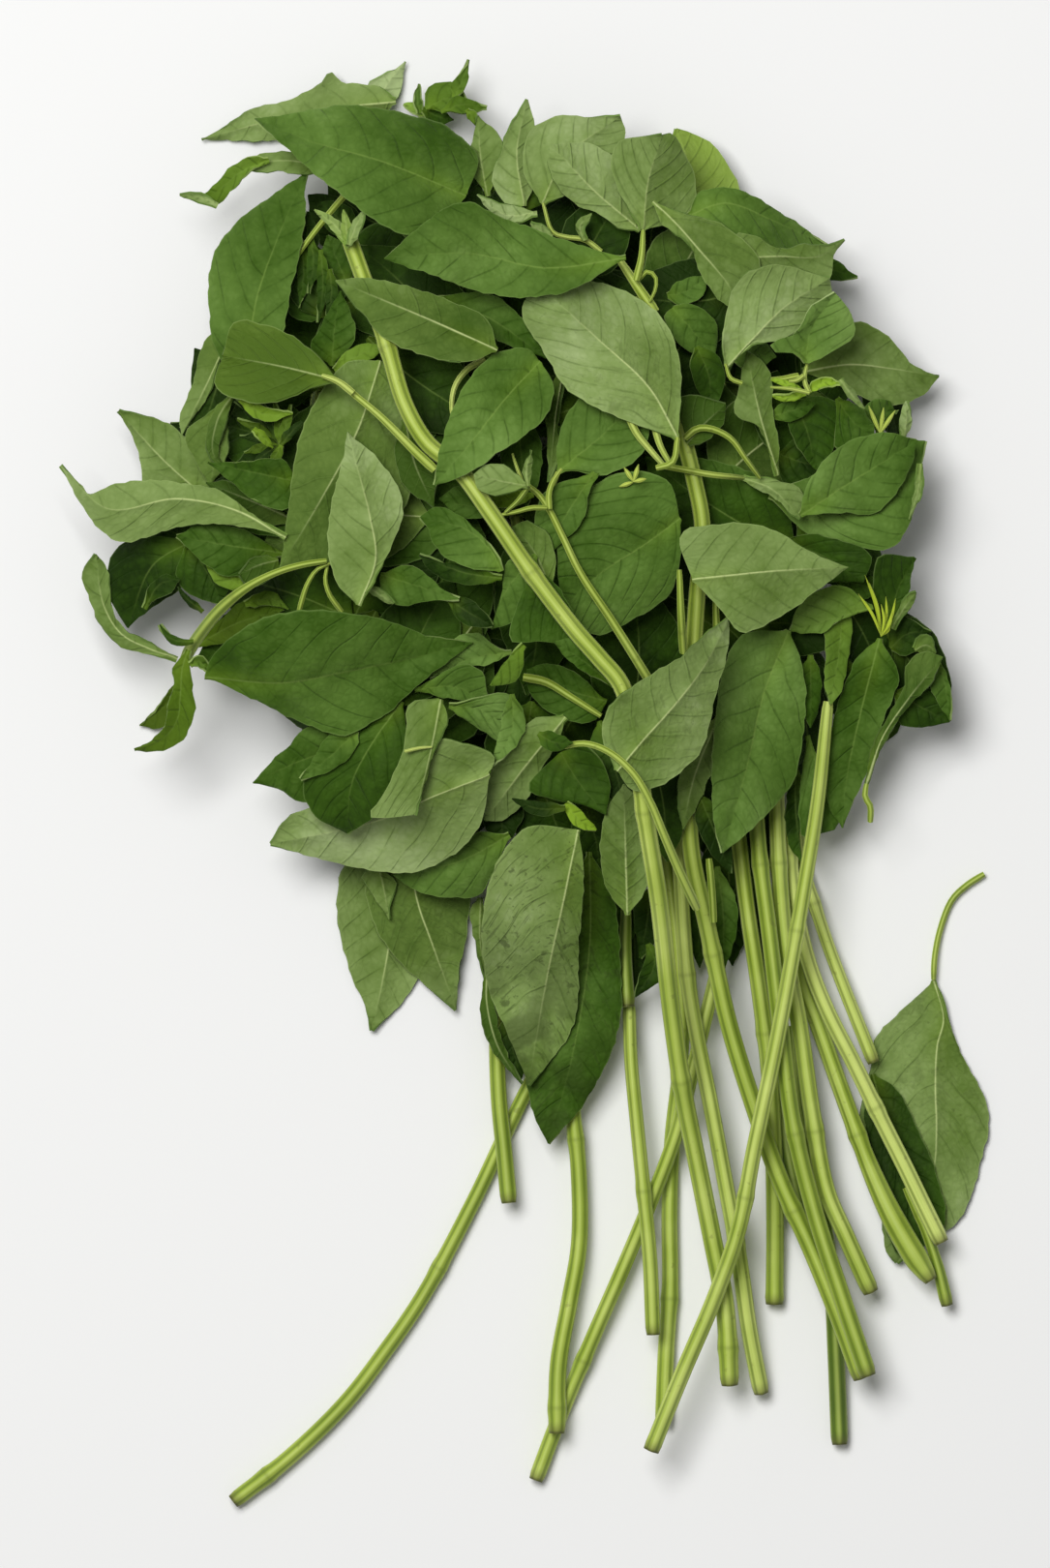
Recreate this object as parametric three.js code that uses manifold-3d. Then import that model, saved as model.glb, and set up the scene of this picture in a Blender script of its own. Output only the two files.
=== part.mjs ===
// A bunch of hairy basil, lying flat: cut stems fan out towards -Y and the leafy head lies towards +Y.
// Millimetres, +Z up. The table is the plane z = 0 and the origin is under the middle of the bunch.
import * as THREE from 'three';
import { mergeVertices } from 'three/addons/utils/BufferGeometryUtils.js';
import Module from 'manifold-3d';

const wasm = await Module();
wasm.setup();

// ---- driving dimensions -------------------------------------------------------------------------
const BLADE_THICKNESS = 0.7;      // a leaf blade, its hairs and quilting included
const STALK_THICKNESS = 1.5;      // a leaf stalk, which runs on under the blade as its midrib
const STALK_HALF_WIDTH = 0.75;
const TIP_HALF_WIDTH = 0.35;
const CLEARANCE = 0.55;           // air between a piece and what it lies on
const STEM_SIDES = 7;
const STEM_STEP = 11;             // length of one straight piece of a stem
const LEAF_STEP = 6.5;            // length of one straight piece of a leaf
const LEAF_BEND = 0.024;          // how sharply a leaf bows over what is under it, 1/mm
const STEM_BEND = 0.005;          // the same for a stem, which is much stiffer
const SAG = 0.25;                 // how far a piece sags between two supports, per step

// The foliage buried in the head lifts everything above it by this dome.
const BED = { x: -2, y: 62, rx: 82, ry: 84, height: 33 };

// The shoots that fill that dome: their stems, their pairs of leaves, and how far a stem lies under them.
const SHOOT = {
  radius: 1.3, drop: 3.6, rise: 1.7, step: 1.2, spacing: 18, spread: 1.05,
  leafLong: 37, leafWide: 25, rimRoom: 4,
  firstPair: 0.03, lastPair: 0.97, spreadChange: 0.18, longChange: 0.16, sideDrop: 0.3, riseEnd: 0.35,
};
const PILE_GRAIN = 0.05;          // how finely a shoot's faces are sampled into the pile

const UPPER_FACE = 0x46702b;      // the dark side of a leaf
const LOWER_FACE = 0x7c9560;      // its pale underside
const YOUNG_LEAF = 0x6d9436;
const STEM_GREEN = 0x96b043;

// How far the edges of a blade hang below its midrib (or stand above it), per mm squared from the rib.
const EDGES_DOWN = 0.02;
const EDGES_UP = -0.009;

// ---- the pile: how high the bunch already is over each square millimetre --------------------------
const HALF_X = 110;
const HALF_Y = 165;
const ROW = 2 * HALF_X + 1;
const heights = new Float32Array(ROW * (2 * HALF_Y + 1));

function bedHeight(x, y) {
  const far = ((x - BED.x) / BED.rx) ** 2 + ((y - BED.y) / BED.ry) ** 2;
  return BED.height * Math.max(0, 1 - far);
}

function cell(x, y) {
  return (Math.round(y) + HALF_Y) * ROW + Math.round(x) + HALF_X;
}

// The highest thing within a millimetre or so of a point.
function supportUnder(x, y) {
  let top = bedHeight(x, y);
  for (let dy = -1; dy <= 1; dy += 1) {
    for (let dx = -1; dx <= 1; dx += 1) {
      const here = heights[cell(x + dx, y + dy)];
      top = Math.max(top, here > 0 ? here + CLEARANCE : 0);
    }
  }
  return top;
}

function pileUp(x, y, z) {
  const at = cell(x, y);
  heights[at] = Math.max(heights[at], z);
}

// ---- curves -------------------------------------------------------------------------------------
// A smooth curve through a flat list of x, y pairs.
function curveThrough(pairs) {
  const points = [];
  for (let i = 0; i < pairs.length; i += 2) points.push(new THREE.Vector3(pairs[i], pairs[i + 1], 0));
  return new THREE.CatmullRomCurve3(points, false, 'centripetal');
}

// The lowest line that clears every support, bows by no more than `bend` and hardly sags between them.
function restingLine(supports, along, bend) {
  const line = supports.map((_, i) => {
    const reach = supports.map((height, j) => height - bend * (along[i] - along[j]) ** 2);
    return Math.max(...reach);
  });
  for (let round = 0; round < 300; round += 1) {
    for (let i = 1; i < line.length - 1; i += 1) {
      line[i] = Math.max(line[i], (line[i - 1] + line[i + 1]) / 2 - SAG);
    }
  }
  return line;
}

function distances(points) {
  const along = [0];
  for (let i = 1; i < points.length; i += 1) along.push(along[i - 1] + points[i].distanceTo(points[i - 1]));
  return along;
}

function weld(geometry) {
  geometry.deleteAttribute('uv');
  geometry.deleteAttribute('normal');
  return mergeVertices(geometry, 1e-4);
}

function addMesh(parent, name, geometry, origin, colour, roughness) {
  geometry.translate(-origin.x, -origin.y, -origin.z);
  geometry.computeVertexNormals();
  const material = new THREE.MeshStandardMaterial({ color: colour, roughness, metalness: 0 });
  const mesh = new THREE.Mesh(geometry, material);
  mesh.name = name;
  mesh.position.copy(origin);
  parent.add(mesh);
}

// ---- a cut stem -----------------------------------------------------------------------------------
// `route` runs from the cut end up into the head.
function layStem(parent, name, radius, route) {
  const plan = curveThrough(route);
  const steps = Math.max(4, Math.round(plan.getLength() / STEM_STEP));
  const points = plan.getSpacedPoints(steps);
  const along = distances(points);
  const supports = points.map((point, i) => {
    const ahead = points[Math.min(i + 1, steps)];
    const behind = points[Math.max(i - 1, 0)];
    let need = radius;
    for (const [from, to] of [[behind, point], [point, ahead]]) {
      for (let f = 0; f <= 1; f += 0.1) {
        const spot = from.clone().lerp(to, f);
        const across = new THREE.Vector2(from.y - to.y, to.x - from.x).normalize();
        for (let side = -0.9; side <= 0.91; side += 0.3) {
          const x = spot.x + across.x * side * radius;
          const y = spot.y + across.y * side * radius;
          need = Math.max(need, supportUnder(x, y) + radius * Math.sqrt(1 - side * side));
        }
      }
    }
    return need;
  });
  const line = restingLine(supports, along, STEM_BEND);
  points.forEach((point, i) => point.setZ(line[i]));

  const section = new THREE.Shape();
  for (let side = 0; side < STEM_SIDES; side += 1) {
    const turn = (2 * Math.PI * side) / STEM_SIDES;
    const corner = [radius * Math.cos(turn), radius * Math.sin(turn)];
    if (side === 0) section.moveTo(...corner);
    else section.lineTo(...corner);
  }
  section.closePath();
  const path = new THREE.CatmullRomCurve3(points, false, 'centripetal');
  const geometry = new THREE.ExtrudeGeometry(section, { steps, extrudePath: path, curveSegments: 1 });

  for (const spot of path.getSpacedPoints(Math.ceil(path.getLength() / 0.6))) {
    const tangentReach = radius + 0.4;
    for (let dx = -tangentReach; dx <= tangentReach; dx += 0.5) {
      for (let dy = -tangentReach; dy <= tangentReach; dy += 0.5) {
        const away = Math.hypot(dx, dy);
        if (away <= tangentReach) {
          const rise = Math.sqrt(Math.max(0, radius * radius - Math.min(away, radius) ** 2));
          pileUp(spot.x + dx, spot.y + dy, spot.z + rise);
        }
      }
    }
  }
  addMesh(parent, name, weld(geometry), points[0].clone(), STEM_GREEN, 0.55);
}

// ---- a leaf ---------------------------------------------------------------------------------------
// `rib` runs from the base of the blade to its tip; `one` and `other` are the two edges between them.
// `stalk`, where there is one, runs from the stem to the base. The blade is a thin sheet laid on the pile.
function layLeaf(parent, name, colour, curl, { stalk = [], rib, one, other, bend = LEAF_BEND }) {
  const base = rib.slice(0, 2);
  const tip = rib.slice(-2);
  const ribCurve = curveThrough(rib);
  const edges = [one, other].map((edge) => curveThrough([...base, ...edge, ...tip]));
  const bladeSteps = Math.max(4, Math.round(ribCurve.getLength() / LEAF_STEP));
  const stalkCurve = stalk.length ? curveThrough([...stalk, ...base]) : null;
  const stalkSteps = stalkCurve ? Math.max(1, Math.round(stalkCurve.getLength() / LEAF_STEP)) : 0;

  // Stations along the leaf: where its rib is, and its two edges in plan.
  const stations = [];
  for (let i = 0; i < stalkSteps; i += 1) {
    const centre = stalkCurve.getPointAt(i / stalkSteps);
    stations.push({ centre, sides: [centre, centre], least: STALK_HALF_WIDTH, grown: 0 });
  }
  for (let i = 0; i <= bladeSteps; i += 1) {
    const t = i / bladeSteps;
    const sides = edges.map((edge) => edge.getPointAt(t));
    const least = t < 0.5 ? STALK_HALF_WIDTH : TIP_HALF_WIDTH;
    stations.push({ centre: ribCurve.getPointAt(t), sides, least, grown: t });
  }
  const last = stations.length - 1;
  const middle = stations[stalkSteps + Math.round(bladeSteps / 2)];
  const heading = (i) => {
    const ahead = stations[Math.min(i + 1, last)].centre;
    const behind = stations[Math.max(i - 1, 0)].centre;
    return ahead.clone().sub(behind).normalize();
  };
  const middleWay = heading(stations.indexOf(middle));
  const turnOf = (way, arm) => Math.sign(way.x * arm.y - way.y * arm.x) || 1;
  const handOne = turnOf(middleWay, middle.sides[0].clone().sub(middle.centre));
  const hands = [handOne, -handOne];
  stations.forEach((station, i) => {
    const way = heading(i);
    station.sides = station.sides.map((side, k) => {
      const arm = side.clone().sub(station.centre);
      const outward = new THREE.Vector3(-way.y, way.x, 0).multiplyScalar(hands[k]);
      const reach = arm.dot(outward);
      if (reach < station.least) arm.addScaledVector(outward, station.least - reach);
      return station.centre.clone().add(arm);
    });
  });

  // A point of the sheet in plan, and how far it hangs below the rib. u counts stations, v runs -1 to 1.
  const sheet = (u, v) => {
    const i = Math.min(Math.floor(u), last - 1);
    const spots = [stations[i], stations[i + 1]].map(({ centre, sides }) => {
      const side = v < 0 ? sides[0] : sides[1];
      return centre.clone().lerp(side, Math.abs(v));
    });
    const hangs = spots.map((spot, k) => curl * spot.distanceToSquared(stations[i + k].centre));
    const f = u - i;
    return { spot: spots[0].clone().lerp(spots[1], f), hang: hangs[0] * (1 - f) + hangs[1] * f };
  };
  const thickness = (u) => {
    const grown = THREE.MathUtils.clamp((u - stalkSteps) / 2, 0, 1);
    return THREE.MathUtils.lerp(STALK_THICKNESS, BLADE_THICKNESS, grown);
  };

  // What each station needs to clear, with half a cell to spare on every side.
  const needs = stations.map(() => 0);
  for (let i = 0; i < last; i += 1) {
    for (let f = 0; f <= 1.001; f += 0.125) {
      for (let v = -1; v <= 1.001; v += 0.1) {
        const { spot, hang } = sheet(Math.min(i + f, last), v);
        const need = supportUnder(spot.x, spot.y) + hang;
        needs[i] = Math.max(needs[i], need);
        needs[i + 1] = Math.max(needs[i + 1], need);
      }
    }
  }
  const along = distances(stations.map(({ centre }) => centre));
  const line = restingLine(needs, along, bend);
  const lift = (u) => {
    const i = Math.min(Math.floor(u), last - 1);
    return line[i] + (line[i + 1] - line[i]) * (u - i);
  };

  // A flat box with a row of cells per station and four across is bent into the sheet.
  const across = 4;
  const geometry = new THREE.BoxGeometry(last, 2, 1, last, across, 1);
  const corners = geometry.attributes.position;
  for (let k = 0; k < corners.count; k += 1) {
    const u = corners.getX(k) + last / 2;
    const v = -hands[0] * corners.getY(k);
    const { spot, hang } = sheet(u, v);
    const up = corners.getZ(k) > 0 ? thickness(u) : 0;
    corners.setXYZ(k, spot.x, spot.y, lift(u) - hang + up);
  }

  for (let u = 0; u <= last; u += 0.08) {
    for (let v = -1; v <= 1.001; v += 0.05) {
      const { spot, hang } = sheet(u, v);
      pileUp(spot.x, spot.y, lift(u) - hang + thickness(u));
    }
  }
  const start = stations[0].centre.clone().setZ(line[0]);
  addMesh(parent, name, weld(geometry), start, colour, 0.7);
}

// ---- a shoot buried in the head ---------------------------------------------------------------------
// A stem with pairs of leaves, grown together as one piece, that fills the room under the dome.
function solidFrom(geometry) {
  const closed = weld(geometry);
  const vertProperties = new Float32Array(closed.attributes.position.array);
  const triVerts = new Uint32Array(closed.index.array);
  return new wasm.Manifold(new wasm.Mesh({ numProp: 3, vertProperties, triVerts }));
}

function geometryFrom(solid) {
  const { vertProperties, triVerts } = solid.getMesh();
  const geometry = new THREE.BufferGeometry();
  geometry.setAttribute('position', new THREE.BufferAttribute(vertProperties, 3));
  geometry.setIndex(new THREE.BufferAttribute(triVerts, 1));
  return geometry;
}

// A plain leaf from `root`, pointing along `angle`, that rises from the shoot's stem to just under the dome.
// It stops short of the dome's rim.
function buriedLeaf(root, angle, fullLength, leafDepth) {
  const [dx, dy] = [Math.cos(angle), Math.sin(angle)];
  let long = fullLength;
  while (bedHeight(root.x + long * dx, root.y + long * dy) < leafDepth + SHOOT.rimRoom) long -= 1;
  const geometry = new THREE.BoxGeometry(1, 2, 1, 5, 2, 1);
  const corners = geometry.attributes.position;
  for (let k = 0; k < corners.count; k += 1) {
    const t = corners.getX(k) + 0.5;
    const halfWidth = Math.max(STALK_HALF_WIDTH, (SHOOT.leafWide / 2) * Math.sin(Math.PI * t ** 0.8) ** 0.8);
    const along = t * long;
    const across = corners.getY(k) * (t < 1 ? halfWidth : TIP_HALF_WIDTH);
    const x = root.x + along * dx - across * dy;
    const y = root.y + along * dy + across * dx;
    const risen = THREE.MathUtils.smoothstep(t, 0, SHOOT.riseEnd);
    const up = corners.getZ(k) > 0 ? BLADE_THICKNESS : 0;
    corners.setXYZ(k, x, y, bedHeight(x, y) - leafDepth - SHOOT.rise * (1 - risen) + up);
  }
  return geometry;
}

// `depth` is how far under the dome its leaves lie.
function layShoot(parent, name, depth, route) {
  const plan = curveThrough(route);
  const steps = Math.round(plan.getLength() / STEM_STEP);
  const points = plan.getSpacedPoints(steps);
  for (const point of points) point.setZ(bedHeight(point.x, point.y) - depth - SHOOT.drop + SHOOT.radius);
  const path = new THREE.CatmullRomCurve3(points, false, 'centripetal');
  const section = new THREE.Shape();
  section.absarc(0, 0, SHOOT.radius, 0, 2 * Math.PI);
  const tube = new THREE.ExtrudeGeometry(section, { steps, extrudePath: path, curveSegments: STEM_SIDES });
  let shoot = solidFrom(tube);

  const pairs = Math.round(path.getLength() / SHOOT.spacing);
  for (let pair = 0; pair <= pairs; pair += 1) {
    const t = THREE.MathUtils.lerp(SHOOT.firstPair, SHOOT.lastPair, pair / pairs);
    const root = path.getPointAt(t);
    const way = path.getTangentAt(t);
    const heading = Math.atan2(way.y, way.x);
    for (const side of [-1, 1]) {
      const spread = side * (SHOOT.spread + SHOOT.spreadChange * Math.sin(5 * pair + side));
      const long = SHOOT.leafLong * (1 + SHOOT.longChange * Math.sin(3 * pair + 2 * side));
      const leafDepth = depth + SHOOT.step * (pair % 2) + SHOOT.sideDrop * side;
      shoot = shoot.add(solidFrom(buriedLeaf(root, heading + spread, long, leafDepth)));
    }
  }

  const box = shoot.boundingBox();
  const geometry = geometryFrom(shoot);
  const triangles = geometry.index.array;
  const corner = [new THREE.Vector3(), new THREE.Vector3(), new THREE.Vector3()];
  const spot = new THREE.Vector3();
  for (let k = 0; k < triangles.length; k += 3) {
    corner.forEach((point, j) => point.fromBufferAttribute(geometry.attributes.position, triangles[k + j]));
    for (let a = 0; a <= 1; a += PILE_GRAIN) {
      for (let b = 0; b <= 1 - a; b += PILE_GRAIN) {
        spot.copy(corner[0]).multiplyScalar(1 - a - b);
        spot.addScaledVector(corner[1], a).addScaledVector(corner[2], b);
        pileUp(spot.x, spot.y, spot.z);
      }
    }
  }
  const start = new THREE.Vector3(points[0].x, points[0].y, box.min[2]);
  addMesh(parent, name, geometry, start, UPPER_FACE, 0.7);
}

const bunch = new THREE.Group();
bunch.name = 'hairy_basil_bunch';
const stems = new THREE.Group();
const leaves = new THREE.Group();
bunch.add(stems, leaves);

const stem = (name, radius, route) => layStem(stems, `stem_${name}`, radius, route);
const upper = (name, shape) => layLeaf(leaves, `leaf_${name}`, UPPER_FACE, EDGES_DOWN, shape);
const lower = (name, shape) => layLeaf(leaves, `leaf_${name}`, LOWER_FACE, EDGES_UP, shape);
const young = (name, shape) => layLeaf(leaves, `leaf_${name}`, YOUNG_LEAF, EDGES_DOWN, shape);

// ---- the buried shoots ------------------------------------------------------------------------------
layShoot(stems, 'shoot_centre', 12.6, [6, 4, 1, 35, -4, 68, -10, 106]);
layShoot(stems, 'shoot_right', 7.4, [34, 14, 44, 45, 43, 72, 32, 100]);
layShoot(stems, 'shoot_left', 2.2, [-20, 4, -34, 30, -44, 62, -40, 100]);

// ---- on the table: the fallen leaf, then the stems that lie lowest --------------------------------
lower('fallen', {
  stalk: [94.7, -18.6, 91, -21, 88, -24, 85.6, -30, 84.4, -36],
  rib: [84.2, -40.5, 86, -49, 85.2, -58, 84.6, -70, 82.5, -84, 77, -98.6],
  one: [79, -46, 71.8, -54, 69.6, -66, 71, -80, 73.8, -93],
  other: [87.8, -50, 95.6, -66.5, 93.4, -81, 88, -92, 82, -96],
});
stem('p', 1.3, [87, -107.8, 84, -98, 80, -89, 76.5, -80]);
stem('j', 1.65, [51.3, -107.6, 51.4, -92, 51.1, -76, 50.2, -60, 48, -42, 45.6, -26, 43.4, -8]);
stem('q', 1.6, [64.8, -136.6, 64, -118, 63.2, -104, 61.4, -91, 58.4, -78, 56.2, -65, 55, -50]);
stem('r', 1.1, [70.8, -54.5, 69, -50.5, 66, -43, 62.6, -34, 59.6, -25, 57.2, -17, 56, -8, 55, 4]);
stem('n', 1.6, [
  83.6, -102.4, 79.8, -97, 75.6, -89.6, 71.4, -81, 67, -70, 63.2, -59, 59.4, -49, 56.6, -41, 55, -32,
]);
stem('o', 1.55, [
  85.8, -94.8, 82, -87, 78.4, -79.5, 73.4, -69.5, 67.8, -58, 62, -46.5, 58.2, -36.5, 55.4, -24, 53.8, -6,
]);
stem('a', 1.5, [
  -60.7, -148.4, -48.5, -138.8, -37.3, -127.8, -29, -117, -21.5, -106, -10.8, -86, -4.2, -72,
  0.4, -62.6, 6, -52,
]);
stem('f', 1.55, [28.3, -132.4, 28.9, -117, 29.7, -104, 29.6, -88, 30.2, -73, 31.8, -58, 32, -44, 28, -8]);
stem('d', 1.45, [1.9, -144, 7, -130.5, 13.5, -115, 20, -100, 25.6, -86.5, 31, -72, 34.6, -58, 41.5, -30]);
stem('c', 1.6, [6.3, -134.2, 6.6, -120, 8.8, -107.5, 10.9, -95, 10.8, -80, 9.4, -66, 8, -50, 7.5, -34]);
stem('b', 1.55, [-3.6, -86.6, -4.6, -76, -5.7, -65, -6.1, -52, -5.4, -38, -3.6, -22]);
stem('e', 1.4, [26.2, -113.8, 25.5, -98, 24.3, -85, 22.8, -70, 21.6, -57, 21.2, -45.5]);
stem('i', 1.55, [48.6, -126, 46, -112.5, 43.9, -98, 41, -82, 38, -66, 35.2, -52, 33.2, -39, 31, -6]);
stem('m', 1.7, [
  69.2, -122.8, 64.5, -110, 58.6, -95.5, 52.5, -82, 46.8, -66, 41.6, -49, 37.2, -29, 34, -14,
  33.2, 6, 34.4, 28, 35.2, 40, 36.2, 53, 34.4, 63, 31.8, 73, 28.5, 84, 22, 100,
]);
stem('k', 1.65, [71.2, -105, 66, -93.4, 62, -84, 59, -68, 56.4, -50, 53.8, -36, 52.2, -18, 51, 18]);
stem('l', 1.65, [70.6, -122.2, 65, -105.5, 59.4, -88, 55, -70, 52.4, -50, 50, -30, 48, -14, 46.6, 6]);

// ---- the low leaves, whose tips reach out over the table ------------------------------------------
lower('top_tip', {
  rib: [-36, 137, -31, 143, -25, 149.4],
  one: [-36, 142.4, -30.6, 147.8],
  other: [-29.6, 138.6, -26, 144.6],
});
lower('top_left', {
  rib: [-28, 137, -45, 139, -67.2, 133.3],
  one: [-33, 144, -44, 143.8, -55, 140, -61, 137],
  other: [-36, 133.4, -50, 133.2, -60, 132.9],
});
upper('ribbon', {
  rib: [-41, 126.5, -51, 127.6, -60, 125, -71.4, 121.2],
  one: [-46, 129.8, -53, 130, -58, 128, -62, 126, -66, 123.3],
  other: [-45, 124.8, -51, 126, -57, 125, -60, 123, -63, 120.6, -66.5, 119.4],
});
upper('left_shoulder', {
  rib: [-57, 82, -56, 98, -51, 113, -45.3, 126],
  one: [-63.5, 88, -65.4, 97, -65, 108, -60, 115.6, -53, 121],
  other: [-51, 90, -48.6, 101, -46, 113],
});
lower('left_wing', {
  rib: [-66, 59, -75, 67, -84.2, 77],
  one: [-65, 63, -67.5, 66.7, -71.5, 72.8, -77, 75.5],
  other: [-72, 59, -79, 61.6, -79.6, 66.5, -81.4, 71.8],
});
upper('dark_curl', {
  rib: [-69, 50, -77, 45, -82.3, 32.2],
  one: [-76, 51, -83.5, 49.6, -86.4, 44.5, -85.4, 37],
  other: [-68, 44, -71.5, 40, -77, 36.4],
});
lower('striped', {
  stalk: [-72, 25.8],
  rib: [-77.5, 27.8, -85, 32, -88.3, 40, -88.7, 47.4],
  one: [-82, 28, -85.6, 29.8, -89.2, 36.3, -91.5, 43.5],
  other: [-81, 30.4, -84.2, 32, -85.6, 38, -86.2, 43],
});
lower('olive', {
  rib: [-36, 8, -46, 5, -56.4, 0.2],
  one: [-38, 13, -44, 12.6, -50, 7],
  other: [-39, -1, -46, -3.8, -51, -1.3],
});
lower('hang_left', {
  rib: [-27, -16, -28, -30, -29.8, -41, -32, -51],
  one: [-35.5, -17, -38.3, -27, -36.6, -38, -33.6, -45.6],
  other: [-20, -23, -20.5, -35, -25.5, -44.8],
});
lower('hang_right', {
  rib: [-24, -14, -22.6, -24, -19.5, -33, -14.5, -46.7],
  one: [-33, -20, -31.4, -29, -26, -37, -20, -42.6],
  other: [-12.5, -18, -12, -29, -14, -39],
});
upper('under_bruised', {
  rib: [13, -14, 13, -34, 9.5, -56, 4.5, -74.3],
  one: [7, -24, 4, -44, 0, -61, 1.6, -68.6],
  other: [17.6, -22, 19.4, -36, 19.2, -50, 15.6, -60, 10.6, -68],
});
lower('right_shoulder_tip', {
  rib: [57, 85, 67, 86.5, 76, 85.6, 85.2, 84.1],
  one: [62.5, 91, 68.4, 95.4, 74.4, 92.6, 79.6, 86.8],
  other: [63.5, 82.6, 70.5, 79.4, 77, 78.2, 82, 80.4],
});
upper('right_cup', {
  rib: [50, 59.5, 62, 56, 75, 59, 82.2, 70.8],
  one: [55, 62, 66, 66, 76, 71],
  other: [57, 52.2, 66, 49.2, 75.6, 48.6, 79.6, 56],
});
lower('elliptic', {
  stalk: [21.2, -44, 20.9, -35],
  rib: [20.8, -27, 20.4, -14, 20, 0],
  one: [16.6, -22, 15.3, -14.5, 16, -6],
  other: [24.2, -22.5, 25.6, -14, 24.4, -5],
});
upper('centre_big', {
  rib: [31.6, 54.6, 24, 49, 15.5, 43.5, 7, 36],
  one: [29, 62.3, 20, 64.2, 12, 60, 6.6, 50],
  other: [31.6, 46.5, 29.6, 39, 23, 34.4, 14, 30.6],
});
lower('left_centre', {
  rib: [-30, 87, -35, 72, -43, 57, -50.7, 44.2],
  one: [-37, 86.6, -44, 77.5, -47, 70, -49, 56],
  other: [-24, 77, -22.6, 66, -26, 55, -36, 47],
});

// ---- the long stems that run over them, and the side shoots ---------------------------------------
stem('h', 1.75, [
  42, -124.2, 41, -108, 38.2, -93, 35.2, -78, 32.2, -63, 29.6, -45, 27.2, -24, 24.6, -8, 22.6, 6, 19.6, 20,
  15, 25.8, 10, 31.5, 0.8, 43.6, -7.4, 55.6, -14, 64.6, -20.4, 70, -25, 78, -28.6, 90, -33, 102.5, -36.8, 113,
]);
stem('g', 1.5, [
  25.7, -137.6, 32, -122, 39, -105.5, 43.8, -91.5, 47, -75, 51, -56, 54.4, -38, 57.4, -20.5, 60, -4, 62.2, 17,
]);
stem('side_left', 0.9, [-18.8, 64.4, -22.4, 67.8, -30, 75.4, -34.6, 79.3, -38, 82.1]);

// ---- the leaves on top ----------------------------------------------------------------------------
upper('right_big', {
  rib: [54, 31.6, 49, 19, 45, 2, 40.4, -14.2],
  one: [57, 24, 57.2, 11, 54.6, 0, 47.4, -8.6],
  other: [44.4, 30.6, 40.2, 22, 38.2, 5, 38.4, -8],
});
lower('saddle', {
  rib: [18.6, 2.6, 23.4, 8.4, 31, 17, 37, 25, 41.6, 34.2],
  one: [15.4, 10, 17.4, 16.4, 24, 21.5, 32, 26.6, 36.6, 30.6],
  other: [22, -1.4, 29.6, 0.8, 36, 7.4, 38.8, 18, 41.4, 27.6],
});
lower('right_shoulder', {
  stalk: [45, 82.6, 41.6, 83.2],
  rib: [41, 85.6, 46.4, 91.4, 53, 98, 62.4, 104],
  one: [40.2, 90.5, 41, 97, 44, 104, 51, 106.8],
  other: [46.6, 90, 51, 91.2, 56.6, 95, 61, 99.6],
});
upper('right_dewy', {
  rib: [56.4, 55.2, 65, 61, 73, 66, 80.5, 70.8],
  one: [57.2, 60.4, 62.2, 67.6, 68, 71.2, 74.4, 72.4],
  other: [65, 55.8, 71.6, 55.6, 76.2, 60, 79.4, 66],
});
lower('side_fold', {
  stalk: [70.9, -7.8, 70.9, -4.6, 69.8, -2.6],
  rib: [70.1, 0, 73.4, 9.6, 79, 18, 85.8, 26.2],
  one: [70.6, 5, 75.4, 16, 78.2, 23, 80.6, 26.4],
  other: [73, 7.4, 78.4, 15.6, 83.2, 20.6],
});
lower('veined_right', {
  rib: [34, 42, 42, 42.8, 52, 43.8, 66.1, 44.5],
  one: [31.6, 51, 38.4, 53.4, 49.4, 52.8, 57.4, 48.2],
  other: [40, 35.6, 44, 31.2, 52, 34.2, 60, 40],
});
young('drooping_shoot', {
  stalk: [-41, 45.8, -46, 45, -51.4, 43.4, -57, 41, -62.4, 37, -67, 31.4, -70, 26.6],
  rib: [-71.2, 22.4, -72.6, 15.6, -80.8, 7],
  one: [-73.6, 20.4, -75.4, 16.4, -77.6, 13],
  other: [-69.2, 19.4, -68.6, 14.4, -70, 9.6, -75, 6.9],
});
lower('pale_lower_left', {
  rib: [-7.6, 2, -19, -2.4, -31, -7.6, -52.8, -12.4],
  one: [-9, 7.6, -19, 7, -30, 1.6, -41, -4, -49.6, -8],
  other: [-9.6, -8.6, -16, -15.4, -26, -18.4, -38, -16.6, -46, -14.6],
});
upper('torn_dark', {
  rib: [-25.6, 17, -32, 8, -36, 0, -37, -10.2],
  one: [-33, 13.5, -43, 6, -46.2, -1, -43.5, -6.6],
  other: [-24.6, 10, -27.4, -0.6, -31.6, -7],
});
upper('left_big', {
  rib: [-63.5, 20, -50, 20.8, -37.5, 23, -25, 25.6, -11, 29],
  one: [-64, 26, -58, 31, -50, 34.8, -41, 35.4, -30, 34, -20, 30.6],
  other: [-59, 18.6, -48, 13.4, -38, 10, -30, 13.6, -21, 21.4],
});
lower('bruised', {
  rib: [10.6, -9.4, 7.4, -25, 4.6, -38, 0.4, -62.2],
  one: [0, -9, -6.6, -17.4, -9.4, -30, -7.6, -43, -3, -53.6],
  other: [11.8, -17, 10.8, -33, 10, -49, 5.6, -56.6],
});
upper('bright_centre', {
  rib: [2.8, 86.8, -4, 79.4, -11.4, 70, -18.8, 61.2],
  one: [0.4, 89.4, -5.4, 89, -10.6, 85, -14.8, 77.4, -17.6, 69],
  other: [5.5, 82, 4.6, 76.6, -0.6, 71.2, -6, 67.8, -12.8, 63],
});
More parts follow.
